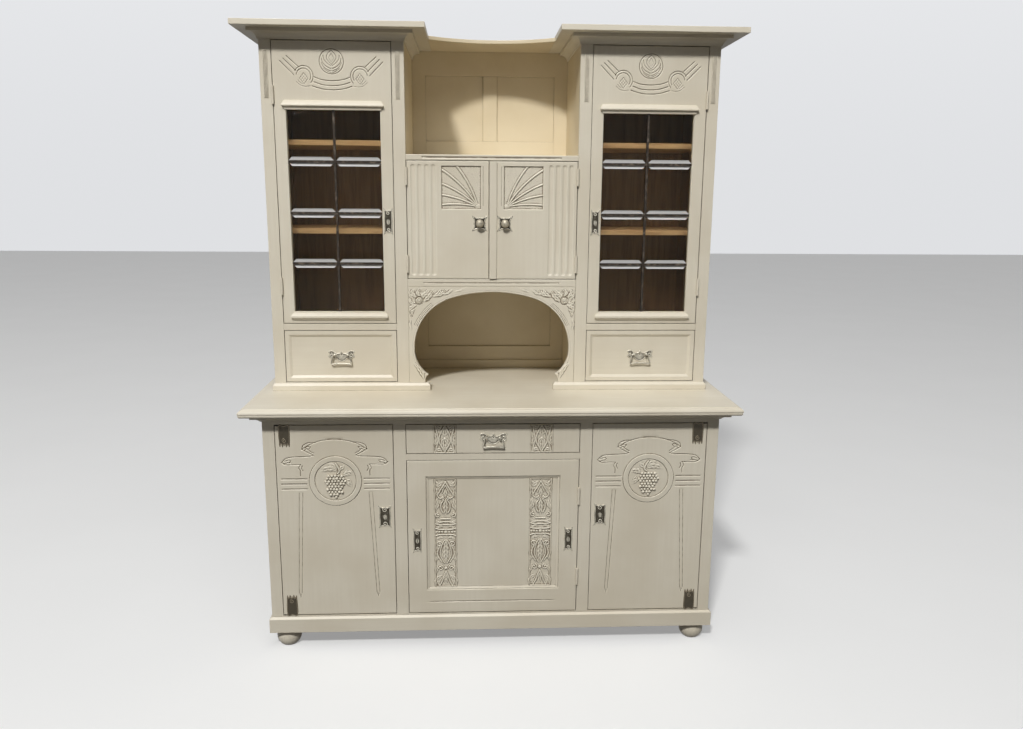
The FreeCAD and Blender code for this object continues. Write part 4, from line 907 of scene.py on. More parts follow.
def carveFrieze(relief, box, way, opening):
    d = frieze
    relief.roundEdges(box["x"], box["z"], d["edge"])
    relief.soften(-insetOf(relief.x, relief.z, opening["x"], opening["z"]), d["edge"])
    relief.centre(middle(box["x"]), box["z"][1] - d["medallionDrop"], way)
    line, top = d["line"], d["topArc"]
    relief.cutLine(arcPath((0, 0), d["medallionRadius"], 0, 360, 60), *line)
    inner = d["medallionRadius"] - top["inset"]
    relief.cutLine(arcPath((0, 0), inner, top["start"], top["end"]), *top["line"])
    for half in d["swag"]:
        relief.cutLine(smoothPath([*half, *mirrored(half[::-1][1:], -1)]), *line)
    for end in (-1, 1):
        for spray in d["sprays"]:
            relief.cutLine(mirrored(smoothPath(spray), end), *d["sprayLine"])
        for ribbon in d["ribbon"]:
            relief.cutLine(mirrored(ribbon, end), *line)
        for arc in d["knotArcs"]:
            relief.cutLine(mirrored(arcPath(d["knot"], *arc, 40), end), *line)
        centre, wide, tall = d["diamond"]
        tips = np.array([(0, tall), (wide, 0), (0, -tall), (-wide, 0)])
        relief.cutLine(mirrored(closed(tips) + centre, end), *d["diamondLine"])
        for share in d["hatchShares"]:
            for a, b, c, e in ((0, 1, 3, 2), (0, 3, 1, 2)):
                hatch = [tips[a] + (tips[b] - tips[a]) * share, tips[c] + (tips[e] - tips[c]) * share]
                relief.cutLine(mirrored(np.array(hatch) + centre, end), *d["hatchLine"])
        for tail in d["tails"]:
            relief.cutLine(mirrored(smoothPath(tail), end), *d["tailLine"])
        relief.cutLine(mirrored(smoothPath(d["bud"]), end), *d["budLine"])
        relief.cutLine(mirrored(smoothPath(d["budCore"]), end), *d["coreLine"])
    grain = d["grain"]
    core = np.hypot(relief.u / grain["wide"], (relief.v - grain["rise"]) / grain["tall"]) < 1
    relief.stipple(core, grain["depth"], grain["seed"])


def makeGlassDoor(name, way):
    node = f"{name}_glass_door_frame"
    box = spanOf(node)
    opening = spanOf(f"{name}_glass_panes")
    d = frieze
    face = box["y"][1] - d["thickness"]
    carvedSpan = [box["z"][1] - d["medallionDrop"] + edge for edge in d["carvedSpan"]]
    lips = [(edge - d["edge"], edge + d["edge"]) for edge in opening["z"]]
    board = carvedBoard(node + "_board", box, {"x": [box["x"]], "z": [carvedSpan, *lips]}, d,
                        lambda relief: carveFrieze(relief, box, way, opening), d["thickness"], opening)
    wide = (opening["x"][0] - d["hoodOverlap"], opening["x"][1] + d["hoodOverlap"])
    feet = {"hood": opening["z"][1], "sill": opening["z"][0] - d["sillDrop"] - d["sill"][-1][1]}
    trims = [mouldedMesh(trim, wide, (face - d[trim + "Depth"], face), [(a, foot + b) for a, b in d[trim]])
             for trim, foot in feet.items()]
    joinedPiece(f"{name}_glass_door_carved", [board, *trims], "paintUpright", f"{name}_glass_door",
                [node])


for sideName, side in sides.items():
    makeGlassDoor(sideName, -side)
print("glass doors carved")

bevelled = {
    "slope": (8, 1.2),
    "lip": 11.5,
    "thin": 2.2,
    "columns": 2,
    "rows": 4,
    "gap": 8,  # width of a came bar, which the panes leave free
    "ground": {"tilt": 0.05, "facing": -0.5, "reach": 1.6},  # bevels between panes, not at the frame, get the painted highlight
}


def paneMesh(width, height, thickness):  # one pane about the origin, its bevelled face towards -Y
    reach, step = bevelled["slope"]
    rings = [(0, thickness / 2), (0, bevelled["thin"] - thickness / 2), (reach, step - thickness / 2),
             (bevelled["lip"], -thickness / 2)]
    corners = [(x * (width / 2 - inset) * mm, y * mm, z * (height / 2 - inset) * mm)
               for inset, y in rings for x, z in ((-1, -1), (1, -1), (1, 1), (-1, 1))]
    faces = [(3, 2, 1, 0), (12, 13, 14, 15)]
    for ring in (0, 4, 8):
        faces.extend((ring + k, ring + (k + 1) % 4, ring + 4 + (k + 1) % 4, ring + 4 + k) for k in range(4))
    mesh = bpy.data.meshes.new("pane")
    mesh.from_pydata(corners, [], faces)
    return mesh


def paneTree():
    tree, given = newTree("paneGrid", {"Pane": "Object", "Columns": "Int", "Rows": "Int", "PitchX": "Float",
                                       "PitchZ": "Float", "Finish": "Material", "HighlightFinish": "Material"})
    columns, rows = given["Columns"], given["Rows"]
    grid = rows.node("GeometryNodeMeshGrid", {}, {
        "Size X": (columns - 1) * given["PitchX"], "Size Y": (rows - 1) * given["PitchZ"],
        "Vertices X": columns, "Vertices Y": rows})
    upright = rows.node("GeometryNodeTransform", {}, {"Geometry": grid, "Rotation": (math.pi / 2, 0, 0)})
    pane = rows.node("GeometryNodeObjectInfo", {}, {"Object": given["Pane"]}, "Geometry")
    copies = rows.node("GeometryNodeInstanceOnPoints", {}, {"Points": upright, "Instance": pane})
    real = rows.node("GeometryNodeRealizeInstances", {}, {0: copies})
    clear = rows.node("GeometryNodeSetMaterial", {}, {"Geometry": real, "Material": given["Finish"]})
    _, facing, tilt = rows.node("GeometryNodeInputNormal", {}, {}).parts()
    height = rows.node("GeometryNodeInputPosition", {}, {}).parts()[2]
    limit = bevelled["ground"]
    between = rows.math("ABSOLUTE", height).below(given["PitchZ"] * limit["reach"])
    # bevels turned up or down between the panes take the painted highlight
    sloped = rows.math("ABSOLUTE", tilt).above(limit["tilt"]) * facing.below(limit["facing"]) * between
    ground = rows.node("GeometryNodeSetMaterial", {}, {
        "Geometry": clear, "Selection": sloped, "Material": given["HighlightFinish"]})
    tree.links.new(ground.socket, tree.nodes.new("NodeGroupOutput").inputs[0])
    return tree


paneNodes = paneTree()
for sideName in sides:
    box = spanOf(f"{sideName}_glass_panes")
    gap, columns, rows = (bevelled[name] for name in ("gap", "columns", "rows"))
    wide = (box["x"][1] - box["x"][0] - gap * (columns - 1)) / columns
    tall = (box["z"][1] - box["z"][0] - gap * (rows - 1)) / rows
    paneHolder = bpy.data.objects.new("paneHolder", paneMesh(wide, tall, box["y"][1] - box["y"][0]))
    panes = grownMesh("panes", paneNodes, {
        "Pane": paneHolder, "Columns": columns, "Rows": rows, "PitchX": (wide + gap) * mm,
        "PitchZ": (tall + gap) * mm, "Finish": finishes["glass"], "HighlightFinish": finishes["glassHighlight"]})
    bpy.data.objects.remove(paneHolder)
    panes.transform(Matrix.Translation(Vector([middle(box[axis]) for axis in "xyz"]) * mm))
    finishedPiece(f"{sideName}_bevelled_panes", panes, None, f"{sideName}_glass_door",
                  [f"{sideName}_glass_panes"])
print("panes set")

smallDoor = {
    "fine": 1.2,
    "coarse": 12,
    "edge": 1.8,
    "flutes": {"first": 274, "pitch": 23.5, "count": 4, "width": 16, "depth": 3, "low": 12, "high": 12,
               "glazeAndShade": 0.25},
    "rays": {"low": (39, -163), "high": (177, -16), "depth": 4.5, "slope": 2.2, "focus": (50, -154),
             "count": 5, "first": 12, "step": 15.4, "bend": 0.0013, "ribWidth": 5, "ribHeight": 3.2,
             "ribSpread": 0.008, "swell": 0.9, "swellReach": 8, "hub": 10, "hubDome": 12,
             "bare": 0.4, "grain": 1.0, "seed": 5},
    "fluteSpan": 190,  # from the middle of the hutch outwards
    "raySpan": (28, 180),
    "carvedSpans": ((-166, -8), (8, 24)),  # up from the door's top and from its foot
    "line": {"in": 32, "top": -18, "foot": -150, "width": 3, "depth": 1.2},
}


def carveSmallDoor(relief, box, way):
    d = smallDoor
    relief.roundEdges(box["x"], box["z"], d["edge"])
    relief.centre(0, box["z"][1], way)
    flutes = d["flutes"]
    bottom = box["z"][0] - box["z"][1]
    half = flutes["width"] / 2
    for number in range(flutes["count"]):
        u = flutes["first"] - number * flutes["pitch"]
        run = [(u, bottom + flutes["low"] + half), (u, -flutes["high"] - half)]
        relief.hollow(run, flutes["width"], flutes["depth"])
        near, _, gap = relief.along(run, flutes["width"])
        # less glaze and painted shade on the flute floors
        relief.keep[near[np.abs(gap) < half - 1]] = flutes["glazeAndShade"]
    rays = d["rays"]
    floor = relief.panel(rays["low"], rays["high"], rays["depth"], rays["slope"])
    du, dv = relief.u - rays["focus"][0], relief.v - rays["focus"][1]
    reach = np.hypot(du, dv)
    turn = np.degrees(np.arctan2(dv, du) + rays["bend"] * reach)
    place = (turn - rays["first"]) / rays["step"]
    nearest = np.clip(np.round(place), 0, rays["count"] - 1)
    toLine = np.abs(place - nearest) * np.radians(rays["step"]) * reach
    rib = rays["ribHeight"] * roundTop(toLine / (rays["ribWidth"] / 2 + reach * rays["ribSpread"]))
    swell = rays["swell"] * np.clip(toLine / rays["swellReach"], 0, 1)
    hub = rays["ribHeight"] * roundTop(reach / rays["hubDome"])
    fan = np.where(reach > rays["hub"], np.maximum(rib, swell), hub)
    relief.height[floor] += fan[floor]
    relief.stipple(floor & (rib < rays["bare"]), rays["grain"], rays["seed"])
    line = d["line"]
    relief.cutLine([(line["in"], line["top"]), (line["in"], line["foot"])], line["width"], line["depth"])


def makeSmallDoor(name, way):
    node = f"upper_{name}_door"
    box = spanOf(node)
    d = smallDoor
    reach = max(abs(edge) for edge in box["x"])
    across = [sorted((way * low, way * high)) for low, high in ((d["fluteSpan"], reach), d["raySpan"])]
    up = [[edge + step for step in span] for edge, span in zip(box["z"][::-1], d["carvedSpans"])]
    mesh = carvedBoard(node + "_carved", box, {"x": across, "z": up}, d,
                       lambda relief: carveSmallDoor(relief, box, way))
    finishedPiece(node + "_carved", mesh, "paintUpright", node, [node])


for sideName, side in sides.items():
    makeSmallDoor(sideName, side)
print("upper doors carved")

archPanel = {
    "spacing": 1.7,
    "edge": 1.8,
    "foot": 230,
    "block": 27,
    "notch": (240, 34),
    "cusp": (230, 56),
    "waist": (277, 145),
    "shoulder": (277, 154),
    "spring": (143, 334),
    "crown": 355,
    "steps": (8, 26, 34, 44),  # points along the four arcs, from the foot up
    "edgeStep": 3,  # points along the straight edges, as a multiple of the spacing
    "rim": {"inset": 6, "width": 3.4, "depth": 0.6, "reach": 60, "fade": 10},
    "rose": {"centre": (258, 325), "radius": 12, "height": 4.4, "start": 30, "turns": 2.0,
             "line": (3.2, 3.0), "margin": 4, "sunk": 0.8},
    "leaves": [  # path from root to tip, width, height, lobes
        ([(247, 331), (241, 346), (230, 353), (224, 369)], 18, 4.2, 4),
        ([(242, 322), (227, 335), (217, 348), (205, 367)], 17, 4.2, 4),
        ([(256, 341), (263, 350), (258, 362), (245, 367)], 13, 3.8, 3),
        ([(268, 335), (278, 345), (282, 357), (272, 368)], 13, 3.8, 3),
        ([(279, 331), (288, 341), (292, 355), (289, 369)], 10, 3.4, 3),
        ([(273, 318), (284, 316), (291, 325), (289, 338)], 12, 3.6, 3),
        ([(269, 309), (281, 304), (290, 295), (287, 279)], 14, 3.8, 4),
        ([(274, 294), (283, 286), (286, 274), (292, 261)], 11, 3.4, 3),
        ([(208, 340), (196, 345), (186, 356), (182, 369)], 14, 3.8, 3),
        ([(198, 341), (182, 347), (168, 357), (153, 367)], 13, 3.8, 4),
        ([(172, 347), (158, 351), (147, 359), (134, 367)], 9, 3.2, 3),
        ([(288, 256), (292, 240), (289, 224), (291, 206)], 7, 2.8, 3),
        ([(130, 357), (118, 360), (106, 364), (94, 367)], 6, 2.6, 2),
        ([(246, 44), (252, 62), (266, 84), (284, 104)], 15, 3.6, 4),
    ],
    "curls": [((254, 359), 7, 180, 1.4), ((284, 317), 6, 90, 1.3), ((214, 355), 7, 200, 1.3),
              ((167, 359), 6, 200, 1.2), ((286, 270), 5, 90, 1.2)],
    "stems": {"offsets": (6, 11.5, 17), "start": 24, "end": 52},
    "line": (2.8, 1.7),
    "beads": [],
    "scrolls": [((242, 74), 10, 250, 1.3)],
    "scrollBead": (4, 2.8),
}


def roundRun(start, end, centre, steps):  # the shorter arc from start to end about a centre
    first = math.atan2(start[1] - centre[1], start[0] - centre[0])
    last = math.atan2(end[1] - centre[1], end[0] - centre[0])
    last += 2 * math.pi * round((first - last) / (2 * math.pi))
    radius = math.dist(start, centre)
    return [(centre[0] + radius * math.cos(a), centre[1] + radius * math.sin(a))
            for a in np.linspace(first, last, steps)]


def levelRadius(start, end):  # of an arc that leaves one of its ends upright
    return ((end[1] - start[1])**2 + (end[0] - start[0])**2) / (2 * abs(end[0] - start[0]))


def archSide(floor):  # the right half of the opening, from the foot up to the crown, in x and z
    d = archPanel

    def level(upright, other):  # centre of such an arc, beside its upright end
        radius = levelRadius(upright, other)
        return (upright[0] + math.copysign(radius, other[0] - upright[0]), upright[1])

    crownRise = d["crown"] - d["spring"][1]
    crownRadius = (d["spring"][0]**2 + crownRise**2) / (2 * crownRise)
    steps = d["steps"]
    runs = [(d["foot"], 0), (d["foot"], d["block"]), (d["notch"][0], d["block"])]
    runs += roundRun(d["notch"], d["cusp"], level(d["notch"], d["cusp"]), steps[0])
    runs += roundRun(d["cusp"], d["waist"], level(d["waist"], d["cusp"]), steps[1])[1:]
    runs += roundRun(d["shoulder"], d["spring"], level(d["shoulder"], d["spring"]), steps[2])
    runs += roundRun(d["spring"], (0, d["crown"]), (0, d["crown"] - crownRadius), steps[3])[1:]
    return np.array(runs) + (0, floor)


def carveArch(relief, outline, arch, floor):
    d = archPanel
    relief.soften(relief.gapTo(closed(outline), d["edge"]), d["edge"])
    relief.centre(0, floor)
    relief.u = np.abs(relief.u)
    rim, rose = d["rim"], d["rose"]
    toArch = relief.gapTo(arch - (0, floor), rim["reach"])
    relief.pattern(d)
    for curl in d["curls"]:
        relief.cutLine(scrollPath(*curl), *d["line"])
    bend = levelRadius(d["shoulder"], d["spring"])
    around = (d["shoulder"][0] - bend, d["shoulder"][1])
    for offset in d["stems"]["offsets"]:
        relief.cutLine(arcPath(around, bend + offset, d["stems"]["start"], d["stems"]["end"]), *d["line"])
    fromRose = np.hypot(relief.u - rose["centre"][0], relief.v - rose["centre"][1])
    relief.height[fromRose < rose["radius"] + rose["margin"]] = -rose["sunk"]
    relief.dome(rose["centre"], rose["radius"], rose["height"])
    relief.cutLine(scrollPath(rose["centre"], rose["radius"], rose["start"], rose["turns"]), *rose["line"])
    groove = rim["depth"] * bell((toArch - rim["inset"]) / (rim["width"] / 2))
    relief.height -= groove * np.clip((relief.v - d["cusp"][1]) / rim["fade"], 0, 1)


def makeArch():
    box = spanOf("arch_panel")
    floor, top = box["z"]
    arch = archSide(floor)
    outer = [(box["x"][0], floor), (box["x"][0], top), (box["x"][1], top), (box["x"][1], floor)]
    outline = np.vstack([outer, arch, mirrored(arch[::-1][1:], -1)])
    loop = []
    for start, end in zip(outline, np.roll(outline, -1, axis=0)):  # long edges get points of their own
        steps = max(1, round(math.dist(start, end) / (archPanel["edgeStep"] * archPanel["spacing"])))
        loop.extend(start + (end - start) * k / steps for k in range(steps))
    loop = np.array(loop)
    mesh = cutPlate("arch_panel_carved", loop, archPanel["spacing"],
                    lambda relief: carveArch(relief, loop, arch, floor), *box["y"])
    finishedPiece("arch_panel_carved", mesh, "paintUpright", "carcass", ["arch_panel"])


makeArch()
print("arch carved")

strips = {
    "middle": 165,
    "half": 38,
    "rise": 2,
    "slope": 0.8,
    "border": 2.5,
    "sunk": 3.2,
    "grain": 0.7,
    "seed": 13,
    "margin": 7,  # fine grid on both sides of a strip
    "fine": 1.1,
    "coarse": 16,
    "edge": 1.5,
}
doorStrip = {  # one half of the pattern, from the strip's middle line and its foot
    "tall": 414,
    "beads": [
        ([(0, 402), (8, 386), (20, 366), (27, 350), (18, 340), (8, 346)], 5, 3),
        ([(0, 388), (7, 374), (12, 362)], 4, 2.6),
        ([(7, 332), (15, 318), (15, 298), (8, 284)], 5, 3),
        ([(0, 262), (16, 262)], 5, 3),
        ([(0, 251), (13, 251)], 4.5, 2.6),
        ([(0, 240), (24, 240), (34, 244)], 5, 3),
        ([(0, 222), (20, 222), (34, 226)], 5, 3),
        ([(0, 202), (20, 202), (34, 198)], 5, 3),
        ([(5, 180), (15, 156), (19, 124), (5, 92)], 4.5, 3),
        ([(10, 168), (25, 148), (28, 122), (14, 96)], 4, 2.6),
        ([(0, 60), (7, 42), (13, 22), (22, 4)], 5, 3),
    ],
    "leaves": [
        ([(36, 410), (32, 398), (24, 388), (10, 404)], 17, 3, 3),
        ([(35, 384), (33, 372), (31, 360), (34, 346)], 12, 3, 3),
        ([(0, 372), (0, 362), (0, 354), (0, 344)], 15, 3, 2),
        ([(0, 336), (0, 320), (0, 300), (0, 270)], 17, 3.2, 4),
        ([(35, 296), (29, 312), (31, 330), (25, 342)], 14, 3, 3),
        ([(13, 250), (22, 248), (30, 252), (34, 262)], 12, 3, 2),
        ([(10, 232), (18, 234), (26, 230), (34, 234)], 9, 2.8, 3),
        ([(8, 190), (18, 192), (26, 188), (34, 186)], 10, 2.8, 3),
        ([(0, 182), (0, 154), (0, 118), (0, 84)], 19, 3.4, 6),
        ([(35, 100), (30, 114), (34, 128), (29, 142)], 13, 3, 3),
        ([(0, 52), (0, 38), (0, 22), (0, 6)], 15, 3, 3),
        ([(36, 6), (34, 22), (26, 36), (14, 44)], 17, 3, 3),
        ([(24, 6), (26, 14), (22, 24), (16, 30)], 9, 2.6, 2),
        ([(35, 52), (34, 62), (30, 72), (33, 84)], 11, 2.8, 3),
    ],
    "scrolls": [((27, 276), 9, 90, -1.2), ((23, 166), 11, 200, -1.3), ((19, 74), 10, 120, 1.2),
                ((9, 338), 6, 0, 1.1)],
    "scrollBead": (4, 2.8),
    "domes": [((0, 212), 6, 3.2), ((12, 212), 4, 2.6), ((22, 212), 4, 2.6), ((31, 212), 4, 2.6),
              ((0, 72), 6, 3)],
}
drawerStrip = {
    "tall": 100,
    "beads": [
        ([(0, 4), (14, 28), (22, 52), (32, 96)], 5, 3),
        ([(0, 96), (14, 70), (22, 44), (32, 6)], 5, 3),
    ],
    "leaves": [
        ([(0, 12), (7, 26), (7, 40), (0, 58)], 15, 3.2, 3),
        ([(0, 92), (6, 80), (6, 70), (0, 60)], 13, 3, 2),
        ([(36, 28), (27, 42), (28, 58), (36, 74)], 16, 3.2, 3),
        ([(34, 4), (26, 10), (18, 12), (8, 4)], 14, 3, 2),
        ([(34, 98), (26, 92), (18, 88), (8, 98)], 14, 3, 2),
        ([(16, 30), (20, 40), (20, 56), (16, 68)], 9, 2.8, 2),
    ],
    "scrolls": [],
    "domes": [((0, 50), 5, 3.4)],
}


def carveStrip(relief, x, low, high, pattern):
    s = strips
    relief.centre(x, low)
    relief.v *= pattern["tall"] / (high - low)
    relief.u = np.abs(relief.u)
    half, tall, border = s["half"], pattern["tall"], s["border"]
    relief.panel((-half, 0), (half, tall), -s["rise"], s["slope"])
    floor = relief.panel((border - half, border), (half - border, tall - border), s["sunk"], s["slope"])
    relief.stipple(floor, s["grain"], s["seed"])
    relief.pattern(pattern)
    for dome in pattern["domes"]:
        relief.dome(*dome)


doorHole = {
    "x": (-231, 231),
    "z": (213, 631),
    "slope": 10,  # width of the moulding between the frame and the panel
    "rise": 4.6,
    "quirk": (3, 0.6, 1.9),  # groove beside the frame: depth, place, half width
    "lap": 1,
}


def makeStripBoard(node, name, body, pattern, margin, thickness, hole=None):
    box = spanOf(node)
    s = strips
    foot, top = box["z"][0] + margin, box["z"][1] - margin
    reach = s["half"] + s["margin"]
    spans = [(side * s["middle"] - reach, side * s["middle"] + reach) for side in (-1, 1)]
    if hole:
        slope, lap = hole["slope"], hole["lap"]
        foot, top = hole["z"][0] + slope - lap, hole["z"][1] - slope + lap
        starts = (hole["x"][0] - lap, hole["x"][1] - slope - 2 * lap)
        spans += [(start, start + slope + 3 * lap) for start in starts]

    def carve(relief):
        relief.roundEdges(box["x"], box["z"], s["edge"])
        for side in (-1, 1):
            carveStrip(relief, side * s["middle"], foot, top, pattern)
        if hole:
            inset = insetOf(relief.x, relief.z, hole["x"], hole["z"])
            depth, place, half = hole["quirk"]
            ramp = hole["rise"] * np.clip(1 - inset / slope, 0, 1) - depth * bell((inset - place) / half)
            relief.height = np.where(inset < slope, ramp, relief.height)

    mesh = carvedBoard(name, box, {"x": spans, "z": [box["z"]]}, s, carve, thickness)
    finishedPiece(name, mesh, "paintUpright", body, [node])


makeStripBoard("base_centre_door_panel", "centre_door_carved_panel", "base_centre_door", doorStrip, 0, 12,
               doorHole)
makeStripBoard("centre_drawer_front", "centre_drawer_carved_front", "centre_drawer", drawerStrip, 0.5, 20)
print("strips carved")

doorFrame = {
    "edge": 1.6,
    "groove": ([(-233, 168), (225, 168)], 6, 2.0),
    "grooveEnd": 0.06,  # share of the groove over which it runs out
    "grooveSpan": 5,
    "lip": 3,
    "fine": 0.9,
    "coarse": 18,
}


def carveDoorFrame(relief, box):
    d = doorFrame
    relief.roundEdges(box["x"], box["z"], d["edge"])
    relief.soften(-insetOf(relief.x, relief.z, doorHole["x"], doorHole["z"]), d["edge"])
    path, width, depth = d["groove"]
    near, share, gap = relief.along(path, width)
    ends = np.clip(np.minimum(share, 1 - share) / d["grooveEnd"], 0, 1)
    relief.height[near] -= depth * bell(gap / (width / 2)) * ends


def makeDoorFrame():
    box = spanOf("base_centre_door_frame")
    d = doorFrame
    groove = d["groove"][0][0][1]
    spans = {axis: [(edge - d["lip"], edge + d["lip"]) for edge in doorHole[axis]] for axis in "xz"}
    spans["z"].append((groove - d["grooveSpan"], groove + d["grooveSpan"]))
    mesh = carvedBoard("centre_door_moulded_frame", box, spans, d,
                       lambda relief: carveDoorFrame(relief, box), hole=doorHole)
    finishedPiece("centre_door_moulded_frame", mesh, "paintUpright", "base_centre_door",
                  ["base_centre_door_frame"])


makeDoorFrame()

edgeGroove = {
    "boards": {  # boards with a stopped groove along the front edge: its ends, width, depth
        "niche_shelf": ((-240, 236), 7, 2.2),
        "cabinet_floor": ((-240, 236), 6, 1.5),
    },
    "reach": 6,  # fine grid on both sides of an end
    "fine": 0.9,
    "coarse": 24,
    "edge": 2,
}


def makeGrooved(node, ends, width, depth):
    box = spanOf(node)
    d = edgeGroove
    level = middle(box["z"])

    def carve(relief):
        relief.roundEdges(box["x"], box["z"], d["edge"])
        relief.hollow([(end, level) for end in ends], width, depth)

    spans = [(end - d["reach"], end + d["reach"]) for end in ends]
    mesh = carvedBoard(node + "_grooved", box, {"x": spans, "z": [box["z"]]}, d, carve)
    finishedPiece(node + "_grooved", mesh, "paintLevel", "carcass", [node])


for node, groove in edgeGroove["boards"].items():
    makeGrooved(node, *groove)

worktop = {  # moulded front and end edges: step in, height over the underside
    "profile": [(9, 0), (5, 1.6), (2, 5), (1.6, 9), (2.4, 11.2), (0.6, 12.5), (0, 16), (2, 21), (6, 25),
                (12, 26.6), (13.2, 26.8), (14.4, 28.4), (16, 29)],
}
box = spanOf("worktop")
profile = [(inset, box["z"][0] + height) for inset, height in worktop["profile"]]
worktopMesh = mouldedMesh("worktop_moulded", box["x"], box["y"], profile)
finishedPiece("worktop_moulded", worktopMesh, "paintLevel", "carcass", ["worktop"])
print("frame, shelf edges and worktop moulded")

plates = {
    "spacing": 1.1,
    "thickness": 1.6,
    "edge": 0.7,
    "rimInset": 2.2,
    "rimWidth": 2.6,
    "rimHeight": 1.1,
    "bossHeight": 1.8,
    "holeDepth": 1.5,
    "keyhole": ([(0, 4), (0, -6)], 4.6, 2.4),
    "scrollBead": (2.6, 1.2),
    "bevel": 0.4,
    "screwStand": 1.9,  # screw heads in front of the wood
    "screwRadius": 2.3,
    "forked": [(0, 0.88), (0.38, 0.82), (0.66, 0.90), (1, 1), (0.90, 0.80), (0.86, 0.45), (0.92, 0)],
    "rose": [(0, 0.78), (0.3, 0.72), (0.55, 0.80), (1, 1), (0.80, 0.55), (0.72, 0.3), (0.78, 0)],
    "pull": [(0, 0.95), (0.16, 0.55), (0.42, 0.62), (0.70, 1), (1, 0.80), (0.90, 0.35), (1, -0.1),
             (0.75, -0.45), (0.45, -0.4), (0.25, -0.8), (0, -1)],
    "pivot": [(0, 1), (1, 1), (1, -0.62), (0.85, -0.95), (0.62, -0.72), (0.35, -1), (0.15, -0.74),
              (0, -0.9)],
}


def plateLoop(kind, halfWide, halfTall, quarter=False, flip=1):
    shares = np.array(plates[kind], float)
    if quarter:
        shares = np.vstack([shares, shares[::-1][1:] * (1, -1)])
    right = smoothPath(shares * (halfWide, halfTall * flip), 6)
    return np.vstack([right, mirrored(right[::-1][1:-1], -1)])


def plateMesh(name, loop, centre, back, scrolls=(), holes=(), keyhole=False, boss=0):
    p = plates
    outline = loop + centre

    def carve(relief):
        relief.centre(*centre)
        inset = relief.gapTo(closed(loop), p["rimInset"] + p["rimWidth"])
        relief.soften(inset, p["edge"])
        relief.height += p["rimHeight"] * roundTop((inset - p["rimInset"]) / (p["rimWidth"] / 2))
        for scroll in scrolls:
            relief.bead(scrollPath(*scroll), *p["scrollBead"])
        if boss:
            relief.dome((0, 0), boss, p["bossHeight"])
        for x, z, width in holes:
            relief.cutLine([(x, z - 0.5), (x, z + 0.5)], width, p["holeDepth"])
        if keyhole:
            relief.cutLine(*p["keyhole"])

    return cutPlate(name, outline, p["spacing"], carve, back - p["thickness"], back)


def screwTree():
    tree, given = newTree("screwHeads", {"Radius": "Float", "Finish": "Material"})
    radius = given["Radius"]
    head = radius.node("GeometryNodeMeshUVSphere", {}, {"Segments": 10, "Rings": 5, "Radius": radius})
    flat = radius.node("GeometryNodeTransform", {}, {"Geometry": head, "Scale": (1, 0.45, 1)})
    soft = radius.node("GeometryNodeSetShadeSmooth", {}, {"Geometry": flat})
    heads = radius.node("GeometryNodeInstanceOnPoints", {}, {"Points": given["Geometry"], "Instance": soft})
    endTree(tree, heads, given["Finish"])
    return tree


screwNodes = screwTree()


def screwMesh(spots, y):
    points = bpy.data.meshes.new("screwSpots")
    points.from_pydata([(x * mm, y * mm, z * mm) for x, z in spots], [], [])
    values = {"Radius": plates["screwRadius"] * mm, "Finish": finishes["iron"]}
    return grownMesh("screws", screwNodes, values, points)


def turned(radius, steps):
    turns = [2 * math.pi * k / steps for k in range(steps)]
    return [(radius * math.cos(turn), radius * math.sin(turn)) for turn in turns]


def turnedMesh(name, profile, centre, axis):  # profile of (place along the axis, radius)
    rings = []
    for place, radius in profile:
        spots = [(a, place, b) if axis == "y" else (a, b, place) for a, b in turned(radius, 20)]
        rings.append([Vector(spot) + Vector(centre) for spot in spots])
    return loftMesh(name, rings, carveMark["sharpAngle"])


def blockMesh(name, x, y, z, bevel):
    block = bmesh.new()
    size = Matrix.Diagonal([(span[1] - span[0]) * mm for span in (x, y, z)]).to_4x4()
    spot = Vector([middle(span) for span in (x, y, z)]) * mm
    bmesh.ops.create_cube(block, size=1, matrix=Matrix.Translation(spot) @ size)
    bevelEdges(block, block.edges[:], bevel)
    return meshOf(block, name)


lock = {
    "bolt": 5,  # what reaches this far behind the plate's face belongs to the lock's body
    "curls": {"rise": 0.62, "radius": 0.4, "turns": 1.2},  # shares of the plate's half sizes
    "screws": 0.34,
    "back": 2,
    "screwFace": 0.3,
    "wide": (44, 82),
    "narrow": (32, 92),
    "centre": (16, 46),  # in from the ends and up from the foot of the middle door's pair
}


def makeLock(node, body, spots, size):
    front = spanOf(node)["y"][0]
    half = (size[0] / 2, size[1] / 2)
    curls = lock["curls"]
    scrolls = [((0, side * half[1] * curls["rise"]), half[0] * curls["radius"], 90 * side, curls["turns"])
               for side in (-1, 1)]
    meshes = [keptIslands(node, lambda low, high: high[1] > front + lock["bolt"], plates["bevel"])]
    for x, z in spots:
        meshes.append(plateMesh(node + "_plate", plateLoop("forked", *half, True), (x, z),
                                front + lock["back"], scrolls, keyhole=True))
        heads = [(x, z + side * half[1] * lock["screws"]) for side in (-1, 1)]
        meshes.append(screwMesh(heads, front + lock["screwFace"]))
    joinedPiece(node + "_dressed", meshes, "patina", body, [node])


for sideName in sides:
    for node, body, size in ((f"base_{sideName}_lock", f"base_{sideName}_door", "wide"),
                             (f"{sideName}_glass_lock", f"{sideName}_glass_door", "narrow")):
        box = spanOf(node)
        makeLock(node, body, [(middle(box["x"]), middle(box["z"]))], lock[size])
box = spanOf("base_centre_locks")
inset, rise = lock["centre"]
lockSpots = [(side * (box["x"][1] - inset), box["z"][0] + rise) for side in (-1, 1)]
makeLock("base_centre_locks", "base_centre_door", lockSpots, lock["narrow"])
print("locks dressed")


rose = {"half": 27, "boss": 15, "screws": 15, "leafDepth": 1}


